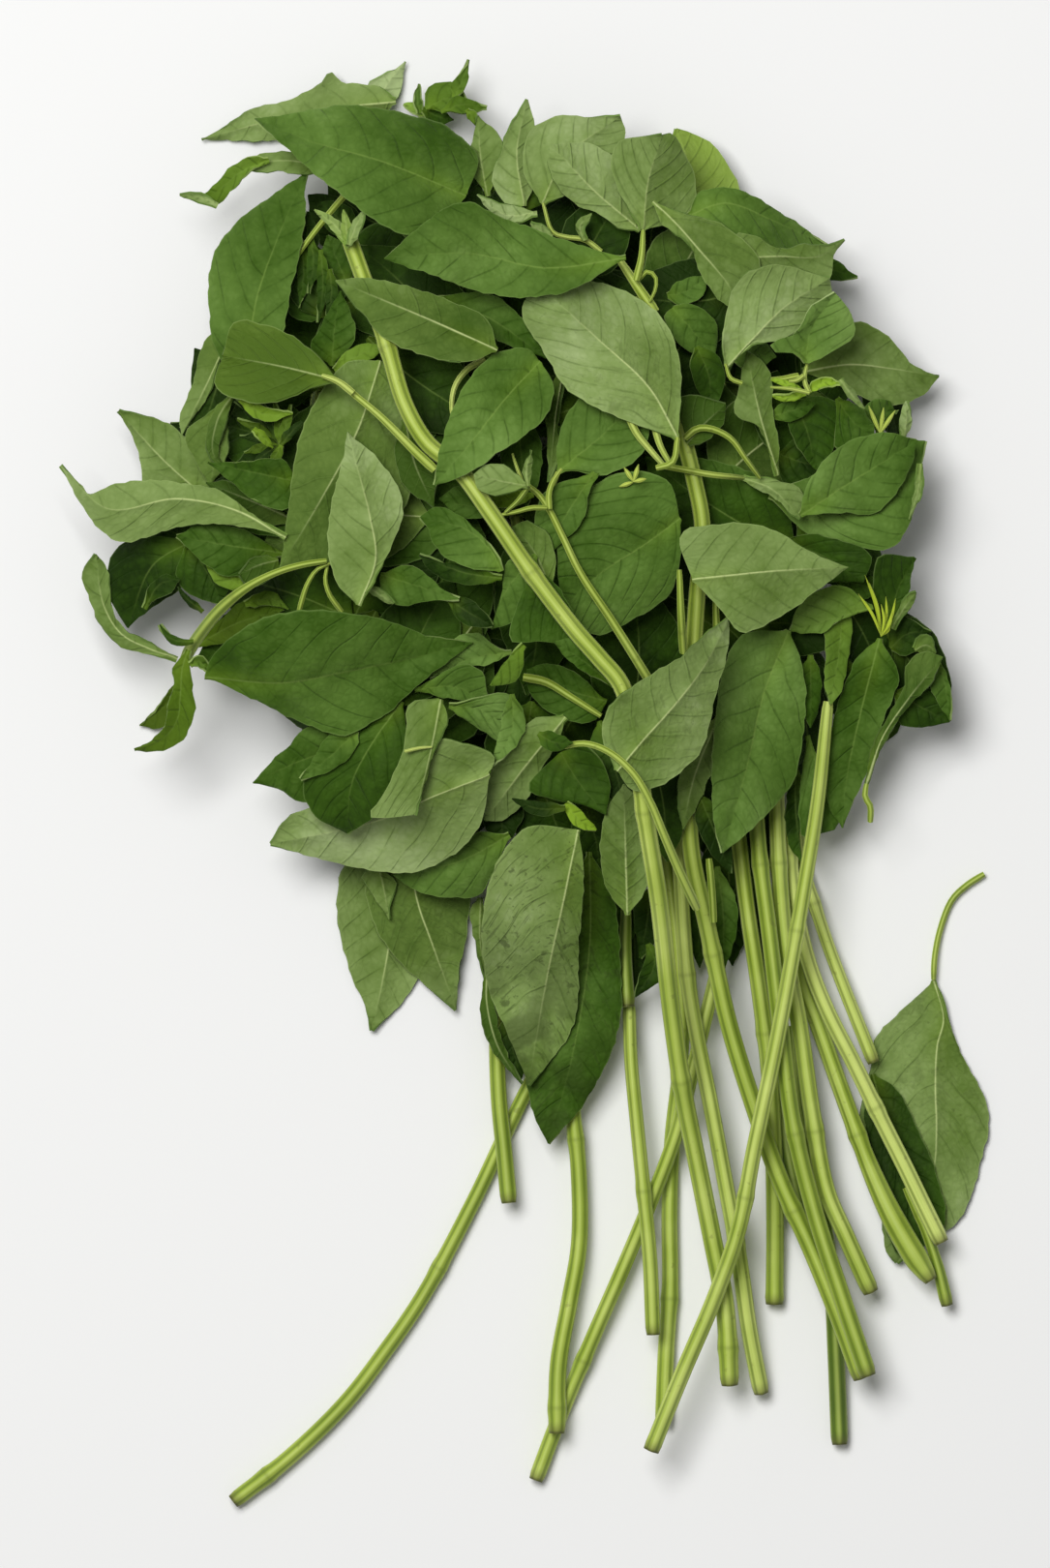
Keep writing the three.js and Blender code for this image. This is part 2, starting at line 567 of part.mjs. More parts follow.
lower('upright_pale', {
  rib: [-34.4, 36.6, -31, 46, -32.2, 55, -36.7, 72.2],
  one: [-39.4, 42, -40.7, 53, -38.4, 64],
  other: [-29.2, 45.6, -25.3, 57.6, -29.4, 65.4],
});
lower('long_left', {
  rib: [-49.4, 50.6, -60, 56.3, -72, 58.6, -86, 56.6, -96, 65.6],
  one: [-55, 54.6, -63, 60, -72, 62.2, -84, 62, -91, 59.8],
  other: [-56, 52.4, -68, 53.4, -78, 50.8, -84, 49.8, -91, 56.2],
});
upper('side_fan', {
  rib: [-38.8, 82.8, -50, 85.6, -62.4, 88],
  one: [-43.6, 88.6, -48, 92, -54, 94.4, -60, 95],
  other: [-43.4, 81.6, -50, 78.5, -57, 78.4, -64, 81.6],
});
lower('centre_left', {
  rib: [-6, 89, -18, 94.4, -39.2, 103.4],
  one: [-8, 95.4, -16.4, 99.6, -28, 103, -35, 104],
  other: [-12, 86.6, -21, 88, -29, 91.4, -35, 98],
});
lower('centre_bruised', {
  stalk: [26.6, 64.8, 30, 66],
  rib: [31, 71, 25, 81.4, 15, 91, 2, 103],
  one: [23.6, 73.4, 15, 76.8, 8, 81.4, 3.6, 88.6, -1, 97],
  other: [31.6, 78, 31.6, 86, 28, 95.6, 16, 103],
});
upper('crown', {
  rib: [-12.4, 121, -30, 128, -44, 132, -56, 137],
  one: [-10, 129, -16, 135, -26, 138.4, -38, 139.6, -49, 138],
  other: [-17.6, 114.4, -25, 112.8, -38, 120.8, -48, 129.4],
});
upper('hip', {
  rib: [20.4, 108, 4, 106, -12, 109, -29.2, 107.8],
  one: [10, 111, -4, 116, -12.4, 119.8, -20, 116],
  other: [9, 101.4, -1, 99.8, -10, 101.2, -20, 104.6],
});
upper('arch', {
  rib: [33.4, 117, 41, 119.6, 51, 116, 62, 111],
  one: [35.6, 121.8, 42, 123, 50.2, 119.2, 57, 114.8],
  other: [38, 114.6, 46, 113.6, 56, 111.2],
});
lower('top_fan', {
  rib: [3.2, 119.4, 8, 129, 19.6, 138.2],
  one: [-0.6, 126, 0.4, 134, 6, 138.2, 13.6, 138],
  other: [10, 122, 17.6, 128.6, 20.4, 133.6],
});

export default bunch;
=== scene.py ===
# %% [markdown]
# # A loose bunch of hairy basil
#
# The bunch lies flat on a table, with its leafy head at +Y and its cut stems fanned out to -Y. The packed
# CAD model gives every large leaf and every stem its place and its least height. This script gives them
# their real surface: thin blades that arch and fold, veins, margins, ribbed stems and cut ends. It adds the
# small leaves, stalks and buds that lie between them.
#
# Everything is laid in the order in which the real pieces lie on each other, from the table up. So each
# piece can rest on the pile below it, and the pieces added here fit between those of the frame.

# %% The frame and the tools
import math

import bpy
import numpy as np
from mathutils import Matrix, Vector
from mathutils.bvhtree import BVHTree


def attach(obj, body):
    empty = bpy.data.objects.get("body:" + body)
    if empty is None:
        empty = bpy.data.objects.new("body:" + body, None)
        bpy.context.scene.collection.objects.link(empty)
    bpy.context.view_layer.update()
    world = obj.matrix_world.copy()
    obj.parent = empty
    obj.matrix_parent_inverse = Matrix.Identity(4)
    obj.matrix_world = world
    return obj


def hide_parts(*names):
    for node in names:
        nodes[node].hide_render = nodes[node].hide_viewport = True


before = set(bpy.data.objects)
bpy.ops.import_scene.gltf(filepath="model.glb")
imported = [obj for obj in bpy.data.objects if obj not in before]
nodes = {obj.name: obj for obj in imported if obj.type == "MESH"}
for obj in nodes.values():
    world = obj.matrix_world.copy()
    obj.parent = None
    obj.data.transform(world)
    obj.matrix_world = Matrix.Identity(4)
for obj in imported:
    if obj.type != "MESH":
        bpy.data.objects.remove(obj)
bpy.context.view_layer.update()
MM = 0.001
rng = np.random.default_rng(7)

# %% [markdown]
# ## Curves
#
# A stem's line, a midrib and a leaf's margins are each a few points with a smooth curve through them. The
# centripetal Catmull-Rom curve passes through its points without loops, even where they lie unevenly.
# Sampling it evenly by length pairs each point of a midrib with the margins beside it.

# %% Smooth curves through a few points
SPAN_STEPS = 24
CENTRIPETAL = 0.5


def through(points, count):
    """`count` evenly spaced points of the smooth curve through `points`, which may be 2-D or 3-D."""
    p = np.asarray(points, float)
    p = np.vstack([2 * p[0] - p[1], p, 2 * p[-1] - p[-2]])
    fine = []
    for a, b, c, d in zip(p, p[1:], p[2:], p[3:]):
        t1 = np.linalg.norm(b - a) ** CENTRIPETAL
        t2 = t1 + np.linalg.norm(c - b) ** CENTRIPETAL
        t3 = t2 + np.linalg.norm(d - c) ** CENTRIPETAL
        t = np.linspace(t1, t2, SPAN_STEPS, endpoint=False)[:, None]
        ab = a + (b - a) * t / t1
        bc = b + (c - b) * (t - t1) / (t2 - t1)
        cd = c + (d - c) * (t - t2) / (t3 - t2)
        abc = ab + (bc - ab) * t / t2
        bcd = bc + (cd - bc) * (t - t1) / (t3 - t1)
        fine.append(abc + (bcd - abc) * (t - t1) / (t2 - t1))
    return evenly(np.vstack([*fine, p[-2:-1]]), count)


def evenly(line, count):
    """The same line, sampled at `count` places equally far apart along it."""
    along = lengths(line)
    places = np.linspace(0, along[-1], count)
    return np.stack([np.interp(places, along, line[:, k]) for k in range(line.shape[1])], 1)


def lengths(line):
    """How far along the line each of its points is."""
    return np.concatenate([[0], np.cumsum(np.linalg.norm(np.diff(line, axis=0), axis=1))])


def pairs(flat):
    """A flat list of x, y, x, y as rows."""
    return np.asarray(flat, float).reshape(-1, 2)


def route_length(route):
    return lengths(through(route, 60))[-1]


def left_of(line):
    """The direction to the left of a line, at each of its points."""
    way = np.gradient(line, axis=0)
    return np.stack([-way[:, 1], way[:, 0]], 1) / np.linalg.norm(way, axis=1)[:, None]


corner = [(0, 0), (10, 0), (10, 10)]
print("a curve round a corner with sides of 10 mm is", round(route_length(corner), 1), "mm long")

# %% [markdown]
# ## The pile
#
# A bunch is a pile: each piece lies on what is below it. The pile is kept as a map of heights, half a
# millimetre a cell. A piece asks the map how high it must be along its line, takes the lowest line that
# clears all of it without bending too sharply, and is then added to the map. The head's own body is a dome
# of buried leaves, and nothing near the top of the pile sinks into it.

# %% The height map, and how a piece comes to rest on it
CELL = 0.5
HALF_X, HALF_Y = 125, 180
pile = np.zeros((round(2 * HALF_X / CELL) + 1, round(2 * HALF_Y / CELL) + 1))
DOME = {"centre": (-2, 62), "radii": (82, 84), "height": 33.0}
AIR = 0.2
FLOOR_GAP = 0.45
SAG, SETTLE_ROUNDS = 0.012, 400


def dome_height(x, y, sink=0.0):
    (centre_x, centre_y), (radius_x, radius_y) = DOME["centre"], DOME["radii"]
    far = ((x - centre_x) / radius_x) ** 2 + ((y - centre_y) / radius_y) ** 2
    return np.maximum(DOME["height"] * (1 - far) - sink, 0)


def cells(x, y):
    return np.rint((x + HALF_X) / CELL).astype(int), np.rint((y + HALF_Y) / CELL).astype(int)


def support(x, y, sink=0.0):
    """The height of what lies under each place, with a cell to spare all round."""
    i, j = cells(x, y)
    top = np.zeros_like(x, dtype=float)
    for di in (-1, 0, 1):
        for dj in (-1, 0, 1):
            top = np.maximum(top, pile[i + di, j + dj])
    return np.maximum(np.where(top > 0, top + AIR, FLOOR_GAP), dome_height(x, y, sink))


def add_to_pile(x, y, top):
    np.maximum.at(pile, cells(x, y), top)


def settle(needs, along, bend):
    """The lowest line over `needs` that bows by at most `bend` and hardly sags between its supports."""
    line = np.max(needs[None, :] - bend * (along[None, :] - along[:, None]) ** 2, axis=1)
    room = SAG * np.mean(np.diff(along)) ** 2 / 2
    for _ in range(SETTLE_ROUNDS):
        line[1:-1] = np.maximum(line[1:-1], (line[:-2] + line[2:]) / 2 - room)
    return line


trees = {}


def cad_top(node, spots):
    """How high the frame's own piece is over each spot, or nan where it isn't."""
    if node not in trees:
        mesh = nodes[node].data
        trees[node] = BVHTree.FromPolygons([v.co for v in mesh.vertices], [p.vertices for p in mesh.polygons])
    down = Vector((0, 0, -1))
    hits = [trees[node].ray_cast(Vector((x * MM, y * MM, 1)), down)[0] for x, y in spots]
    return np.array([np.nan if hit is None else hit.z / MM for hit in hits])


def filled(values):
    """The same values with each nan filled from its neighbours."""
    known = ~np.isnan(values)
    places = np.arange(len(values))
    return np.interp(places, places[known], values[known]) if known.any() else np.zeros(len(values))


print("the pile's map:", pile.shape, "cells, over a dome", DOME["height"], "mm high")

# %% [markdown]
# ## Node trees from formulas
#
# Both the geometry trees and the materials below hold a lot of arithmetic. A `Graph` adds nodes to a tree,
# and a `Field` is one socket that can be added, multiplied and so on: each operation adds one maths node.
# The formulas then read as formulas.

# %% A graph adds nodes to a tree
class Graph:
    def __init__(self, tree):
        self.tree = tree
        self.place = None

    def node(self, kind, inputs=None, **settings):
        """A node with its settings, and with inputs that are values, sockets or fields."""
        made = self.tree.nodes.new(kind)
        for name, value in settings.items():
            setattr(made, name, value)
        for name, value in (inputs or {}).items():
            self.feed(made.inputs[name], value)
        return made

    def feed(self, socket, value):
        value = value.socket if isinstance(value, Field) else value
        if isinstance(value, bpy.types.NodeSocket):
            self.tree.links.new(value, socket)
        elif value is not None:
            socket.default_value = value

    def maths(self, operation, *values, clamp=False):
        made = self.tree.nodes.new("ShaderNodeMath")
        made.operation = operation
        made.use_clamp = clamp
        for socket, value in zip(made.inputs, values):
            self.feed(socket, value)
        return Field(self, made.outputs[0])

    def split(self, vector):
        parts = self.node("ShaderNodeSeparateXYZ", {"Vector": vector})
        return [Field(self, parts.outputs[k]) for k in range(3)]

    def attribute(self, name):
        """A vector that the mesh carries, read in a geometry tree or in a material."""
        if self.tree.bl_idname == "ShaderNodeTree":
            return self.node("ShaderNodeAttribute", attribute_name=name).outputs["Vector"]
        made = self.node("GeometryNodeInputNamedAttribute", {"Name": name}, data_type="FLOAT_VECTOR")
        return made.outputs["Attribute"]

    def named(self, name):
        """A number that the mesh carries, in a geometry tree."""
        made = self.node("GeometryNodeInputNamedAttribute", {"Name": name}, data_type="FLOAT")
        return Field(self, made.outputs["Attribute"])

    def vector(self, x, y, z):
        return self.node("ShaderNodeCombineXYZ", {"X": x, "Y": y, "Z": z}).outputs[0]

    def noise(self, scale, detail=2.0, vector=None, roughness=0.5):
        made = self.node("ShaderNodeTexNoise", {
            "Vector": vector or self.place, "Scale": scale, "Detail": detail, "Roughness": roughness})
        return Field(self, made.outputs[0])

    def scaled(self, vector, amount):
        sockets = {"Vector": vector, "Scale": amount}
        return self.node("ShaderNodeVectorMath", sockets, operation="SCALE").outputs[0]

    def added(self, one, other):
        made = self.node("ShaderNodeVectorMath", operation="ADD")
        self.feed(made.inputs[0], one)
        self.feed(made.inputs[1], other)
        return made.outputs[0]

    def moved(self, geometry, offset, selection=None):
        sockets = {"Geometry": geometry, "Offset": offset, "Selection": selection}
        return self.node("GeometryNodeSetPosition", sockets).outputs[0]

    def smoothed(self, geometry, sharpest):
        """Smooth shading, but for the edges that turn by more than `sharpest` radians."""
        smooth = self.node("GeometryNodeSetShadeSmooth", {"Geometry": geometry}, domain="FACE").outputs[0]
        angle = Field(self, self.node("GeometryNodeInputMeshEdgeAngle").outputs["Unsigned Angle"])
        blunt = self.maths("LESS_THAN", angle, sharpest)
        sockets = {"Geometry": smooth, "Shade Smooth": blunt}
        return self.node("GeometryNodeSetShadeSmooth", sockets, domain="EDGE").outputs[0]

# %% A field is a socket with arithmetic
def operation(name):
    """A method that adds one maths node: the field, and the other value where there is one."""
    return lambda self, *other: self.graph.maths(name, self, *other)


class Field:
    def __init__(self, graph, socket):
        self.graph = graph
        self.socket = socket

    __add__ = __radd__ = operation("ADD")
    __mul__ = __rmul__ = operation("MULTIPLY")
    __sub__, __truediv__, __pow__ = operation("SUBTRACT"), operation("DIVIDE"), operation("POWER")
    size, sine, fract = operation("ABSOLUTE"), operation("SINE"), operation("FRACT")

    def __rsub__(self, other):
        return self.graph.maths("SUBTRACT", other, self)

    def step_from(self, low, high):
        """0 below `low`, 1 above `high`, smooth between; `low` may be the larger."""
        t = self.graph.maths("DIVIDE", self - low, high - low, clamp=True)
        return t * t * (3.0 - 2.0 * t)

    def bump_at(self, place, width):
        """1 at `place`, falling to nothing about two widths away."""
        near = (self - place) / width
        return self.graph.maths("EXPONENT", near * near * -1.0)

# %% [markdown]
# ## Geometry trees
#
# A geometry tree grows the fine shape on a coarse mesh, and its sizes are named inputs. It ends by
# realizing its instances and setting its materials, so that nothing is left as an instance.
# The grown mesh is then taken off as a plain mesh, and the modifier goes with its source object.

# %% Starting a tree, ending it, and growing a piece with it
def geometry_tree(name, sizes):
    """An empty geometry tree with a number input for each of `sizes`, a dictionary of defaults."""
    tree = bpy.data.node_groups.new(name, "GeometryNodeTree")
    tree.interface.new_socket("Geometry", in_out="INPUT", socket_type="NodeSocketGeometry")
    tree.interface.new_socket("Geometry", in_out="OUTPUT", socket_type="NodeSocketGeometry")
    for title, default in sizes.items():
        socket = tree.interface.new_socket(title, in_out="INPUT", socket_type="NodeSocketFloat")
        socket.default_value = default
    graph = Graph(tree)
    start = tree.nodes.new("NodeGroupInput")
    values = {socket.name: socket for socket in start.outputs if socket.name}
    return graph, values


def finish_tree(graph, geometry, *materials):
    """Realizes what the tree made, gives it its last materials and ends the tree."""
    done = graph.node("GeometryNodeRealizeInstances", {"Geometry": geometry}).outputs[0]
    for selection, material in materials:
        sockets = {"Geometry": done, "Selection": selection, "Material": material}
        done = graph.node("GeometryNodeSetMaterial", sockets).outputs[0]
    end = graph.tree.nodes.new("NodeGroupOutput")
    graph.tree.links.new(done, end.inputs[0])
    return graph.tree


def grown(name, mesh, tree, **inputs):
    """The mesh that `tree` makes of `mesh`, as a plain object of its own."""
    source = bpy.data.objects.new(name + "_source", mesh)
    bpy.context.scene.collection.objects.link(source)
    modifier = source.modifiers.new("grow", "NODES")
    modifier.node_group = tree
    sockets = {item.name: item.identifier for item in tree.interface.items_tree if item.in_out == "INPUT"}
    for title, value in inputs.items():
        modifier[sockets[title.replace("_", " ")]] = value
    graph_state = bpy.context.evaluated_depsgraph_get()
    made = bpy.data.meshes.new_from_object(source.evaluated_get(graph_state), depsgraph=graph_state)
    bpy.data.objects.remove(source)
    made.name = name
    piece = bpy.data.objects.new(name, made)
    bpy.context.scene.collection.objects.link(piece)
    return piece

# %% [markdown]
# ## Laying a leaf
#
# A basil blade is a thin sheet. It could be a subdivided outline, but veins, quilting and margins all follow
# the midrib, so the sheet is a grid in leaf coordinates instead. Rows run along the midrib and columns run
# out to each margin, closer together beside the midrib and the margin, where the shape turns fastest.
# The two halves rise a little from the midrib and hang again at the margins. A blade that lies with its
# underside up has the same shape turned over. The margins ripple, and the whole blade leans with the dome.

# %% A leaf's grid in plan
ROW = 1.0                     # from one row of the grid to the next, in mm
LEAST_ARM = (0.5, 0.12)       # a half-blade is nowhere narrower, from base to tip


def margins_of(rib, width):
    """The two margins of a plain leaf of that width, where only its midrib is given."""
    spine = through(pairs(rib), 7)
    left = left_of(spine)
    t = np.linspace(0, 1, 7)[1:-1]
    half = (width / 2 * np.sin(np.pi * t ** 0.8) ** 0.8)[:, None]
    return (spine[1:-1] + left[1:-1] * half).ravel(), (spine[1:-1] - left[1:-1] * half).ravel()


def blade_in_plan(rib, one, other):
    """Midrib points, the left-hand direction at each, and the arms from each to its two margins."""
    spine = pairs(rib)
    rows = max(9, round(route_length(spine) / ROW))
    centre = through(spine, rows)
    left = left_of(centre)
    arms = [through(np.vstack([spine[:1], pairs(edge), spine[-1:]]), rows) - centre for edge in (one, other)]
    if (arms[0] * left).sum() < (arms[1] * left).sum():
        arms.reverse()
    least = np.linspace(*LEAST_ARM, rows)
    for arm, hand in zip(arms, (1, -1)):
        short = np.maximum(least - hand * (arm * left).sum(1), 0)
        arm += (short * hand)[:, None] * left
    return centre, left, arms


def columns_for(half_width):
    """How far out each column is, from -1 at the right margin to 1 at the left one."""
    count = 13 if half_width > 8 else 10 if half_width > 4 else 6
    side = (1 - np.cos(np.pi * np.linspace(0, 1, count + 1))) / 2
    return np.concatenate([-side[:0:-1], side])


for half_width in (3, 6, 16):
    print("a blade", 2 * half_width, "mm wide has", len(columns_for(half_width)), "columns")

# %% [markdown]
# A blade sinks until it touches the pile, but it is stiff enough to bridge small gaps. A cloth simulation
# could find that shape, but it is slow, and no two runs of it need agree. Here each point starts at the
# least height that clears what is below it. No point may lie lower than a gentle bow from any other one
# allows, and a few rounds of averaging, upwards only, take out the creases.

# %% Draping a blade over the pile, and resting a stem on it
BLADE_BEND = 0.017
SMOOTHING_ROUNDS = 14


def finer(grid, times=3):
    """The same grid of points with `times` as many rows and columns, by straight interpolation."""
    for axis in (0, 1):
        grid = np.moveaxis(grid, axis, 0)
        t = np.linspace(0, len(grid) - 1, times * (len(grid) - 1) + 1)
        i = np.minimum(t.astype(int), len(grid) - 2)
        f = (t - i).reshape(-1, 1, 1)
        grid = np.moveaxis(grid[i] * (1 - f) + grid[i + 1] * f, 0, axis)
    return grid


def drape(needs, plan, bend):
    """The lowest sheet over `needs` that bows by at most `bend`, with its creases smoothed out."""
    spots = plan.reshape(-1, 2).astype(np.float32)
    square = (spots ** 2).sum(1)
    apart = square[:, None] + square[None] - 2 * spots @ spots.T
    sheet = (needs.ravel().astype(np.float32)[None] - bend * apart).max(axis=1).reshape(needs.shape)
    for _ in range(SMOOTHING_ROUNDS):
        wide = np.pad(sheet, 1, mode="edge")
        around = (wide[:-2, 1:-1] + wide[2:, 1:-1] + wide[1:-1, :-2] + wide[1:-1, 2:]) / 4
        sheet = np.maximum(sheet, around)
    return sheet.astype(float)


def resting_line(needs, along, bend, coarse):
    """A stem's resting line, found at stations `coarse` mm apart and then smoothed to every point."""
    count = max(4, round(along[-1] / coarse) + 1)
    stations = np.linspace(0, along[-1], count)
    reach = stations[1] * 0.75
    need = np.array([needs[np.abs(along - s) <= reach].max() for s in stations])
    line = settle(need, stations, bend)
    curve = through(np.stack([stations, line], 1), 20 * count)
    return np.interp(along, curve[:, 0], curve[:, 1])

# %% Laying a leaf
BLADE = 0.4                   # how thick a blade is, in mm
BLADE_AIR, QUILT_ROOM = 0.15, 0.1
FOLD, CURL, CRUMPLE = 0.17, 0.0135, 0.36
FOLD_SHARES = (0.6, 1.7)      # leaves differ in how much they fold
RIPPLE, CREASE = (13, 20), (9, 17)
SLOPE_FOLLOWED, LEAN_SPREAD = 0.6, 0.07
UPPER, UNDER = 1, -1
sheets, tubes = {}, {}


def dome_lean(spot, left):
    """The slope of the dome from right to left across a leaf at `spot`."""
    slope = [-2 * DOME["height"] * (spot[k] - DOME["centre"][k]) / DOME["radii"][k] ** 2 for k in (0, 1)]
    return SLOPE_FOLLOWED * float(np.dot(slope, left)) * (dome_height(*spot) > 0)


def own_draws(centre):
    """A piece's own random numbers, from where it starts, so that one more piece changes no other."""
    return np.random.default_rng([round(abs(v) * 100) for v in centre[0]])


def lay_leaf(batch, face, tone, rib, one, other, *, twin=None, sink=0.0, warm=0.0, wear=0.0, wave=0.5,
             bend=BLADE_BEND, form=1.0):
    """Lays one blade on the pile and returns the height of its base. `tone`, `warm` and `wear` paint it,
    `wave` is how much it ripples and crumples, and `form` is how much of its fold it has."""
    centre, left, (left_arm, right_arm) = blade_in_plan(rib, one, other)
    along = lengths(centre)
    widest = max(np.linalg.norm(left_arm, axis=1).max(), np.linalg.norm(right_arm, axis=1).max())
    v = columns_for(widest)
    arms = np.where((v > 0)[None, :, None], left_arm[:, None], right_arm[:, None])
    plan = centre[:, None] + np.abs(v)[None, :, None] * arms
    across = v[None, :] * np.linalg.norm(arms, axis=2)
    d = np.abs(across)

    own = own_draws(centre)
    lean = dome_lean(centre.mean(0), left.mean(0)) + own.uniform(-LEAN_SPREAD, LEAN_SPREAD)
    ripple, start = own.uniform(*RIPPLE), own.uniform(0, 2 * np.pi, 2)
    start = np.where(v > 0, start[0], start[1])[None, :]
    fold = FOLD * own.uniform(*FOLD_SHARES)
    high = form * face * (fold * (np.sqrt(d * d + 0.5) - 0.7) - CURL * d * d) + lean * across
    high += wave * (v * v)[None, :] * np.sin(2 * np.pi * along[:, None] / ripple + start)
    for _ in range(3):
        turn, crease, shift = own.uniform(0, np.pi), own.uniform(*CREASE), own.uniform(0, 2 * np.pi)
        place = along[:, None] * math.cos(turn) + across * math.sin(turn)
        high += wave * CRUMPLE * np.minimum(d / 3, 1) * np.sin(2 * np.pi * place / crease + shift)

    needs = support(plan[..., 0], plan[..., 1], sink) + BLADE + BLADE_AIR - high
    if twin:
        middle = v == 0
        cad = filled(cad_top(twin, centre))[:, None]
        needs[:, middle] = np.maximum(needs[:, middle], cad - high[:, middle])
    points = np.concatenate([plan, (drape(needs, plan, bend) + high)[..., None]], axis=2)
    dense = finer(points)
    add_to_pile(dense[..., 0], dense[..., 1], dense[..., 2] + QUILT_ROOM)

    flat = np.ones_like(across)
    sheets.setdefault(batch, []).append({
        "points": points * MM,
        "blade": np.stack([along[:, None] * flat, across, v[None, :] * flat], 2),
        "leaf": np.stack([along[-1] * flat, face * flat, own.uniform(0, 50) * flat], 2),
        "look": np.stack([tone * flat, warm * flat, wear * flat], 2),
        "out": np.concatenate([left[:, None] * np.sign(v)[None, :, None], 0 * flat[..., None]], 2),
    })
    return points[0, len(v) // 2, 2]

# %% [markdown]
# ## Laying a stem or a stalk
#
# A stem is a line with a thickness. It rests on the pile as a leaf does, but bends far less. Only its line
# and its radius are worked out here, and a node tree gives it its ribs, its swollen nodes and its cut ends.

# %% Laying a stem
STEM_BEND, STALK_BEND = 0.005, 0.03
TAPER = (1.04, 0.14)          # the share of its radius at its cut end, and how much of it goes
END_ROUNDING = 0.16
SIDE_STEPS = np.linspace(-0.9, 0.9, 7)
END_EASE = 6.0                # the last part of a leaf stalk rises to meet its blade
NODE_GAP = 56.0
LOWEST_LINE = 1.3             # in radii above the table
UNCUT = 1.2                   # a thinner one is a stalk, which starts where it grew and not at a cut
PAST_CUT = 4.0


def lay_stem(batch, radius, route, *, tone=0.5, twin=None, bend=STEM_BEND, end_height=None, shape=None,
             sink=0.0, coarse=6.0, step=1.5, joint=None):
    """Lays one stem or stalk on the pile. `shape` turns 0 to 1 along it into a share of the radius, and
    `joint` is how far from its cut end a node is."""
    spine = pairs(route)
    count = max(8, round(route_length(spine) / step))
    centre = through(spine, count)
    along = lengths(centre)
    t = along / along[-1]
    thick = radius * (shape(t) if shape else TAPER[0] - TAPER[1] * t)
    near_start, near_end = np.exp(-along ** 2), np.exp(-(along[-1] - along) ** 2)
    thick = thick * (1 - END_ROUNDING * near_start - END_ROUNDING * near_end)

    plan = centre[:, None] + left_of(centre)[:, None] * (SIDE_STEPS[None, :, None] * thick[:, None, None])
    rise = thick[:, None] * np.sqrt(1 - SIDE_STEPS * SIDE_STEPS)[None, :]
    needs = (support(plan[..., 0], plan[..., 1], sink) + rise).max(axis=1)
    needs = np.maximum(needs, thick * LOWEST_LINE)
    if twin:
        needs = np.maximum(needs, filled(cad_top(twin, centre)) - thick)
    line = resting_line(needs, along, bend, min(coarse, along[-1] / 4))
    if end_height is not None:
        line = line + (end_height - line[-1]) * np.clip(1 - (along[-1] - along) / END_EASE, 0, 1) ** 2

    dense = finer(np.stack([plan[..., 0], plan[..., 1], line[:, None] + rise], 2))
    add_to_pile(dense[..., 0], dense[..., 1], dense[..., 2])
    phase = own_draws(centre).uniform(0, 50) if joint is None else 0.5 - joint / NODE_GAP
    from_cut = along + (0 if radius > UNCUT else PAST_CUT)
    tubes.setdefault(batch, []).append({
        "points": np.concatenate([centre, line[:, None]], 1) * MM,
        "thick": thick * MM,
        "run": np.stack([from_cut, np.full(count, phase), np.full(count, tone)], 1),
    })

# %% [markdown]
# ## Growing the surfaces: blades
#
# Veins repeat along every blade, so one node tree grows them all. The tissue swells between the side veins
# towards the upper face, the midrib stands out on the underside, and the margin has shallow teeth. The tree
# then gives the sheet its thickness: it pushes a copy through by the thickness, turns that copy over, and
# joins the two along the margin.

# %% The leaf's own pattern, shared by its shape and its colour
VEIN_GAP, GAP_SHARE = 1.7, 0.105     # between side veins: a least gap, and a share of the leaf's length
VEIN_SLANT, VEIN_BOW = 0.8, 0.045


def leaf_pattern(graph):
    """The fields that place a point on its leaf, and how near it is to the veins."""
    along, across, v = graph.split(graph.attribute("blade"))
    long, face, seed = graph.split(graph.attribute("leaf"))
    d = across.size()
    spacing = long * GAP_SHARE + VEIN_GAP
    place = graph.vector(along, across, seed * 7.0)
    drift = graph.noise(0.08, 1.0, place) - 0.5
    other_side = graph.maths("GREATER_THAN", across, 0.0) * 0.45
    phase = (along - d * VEIN_SLANT - d * d * VEIN_BOW) / spacing + other_side + seed + drift
    from_vein = (0.5 - (phase.fract() - 0.5).size()) * spacing
    grown = along / long
    return {"along": along, "across": across, "v": v.size(), "d": d, "face": face, "seed": seed, "long": long,
            "phase": phase, "from_vein": from_vein, "grown": grown, "drift": drift, "place": place}

# %% The blade's node tree
MIDRIB_HALF = 0.42


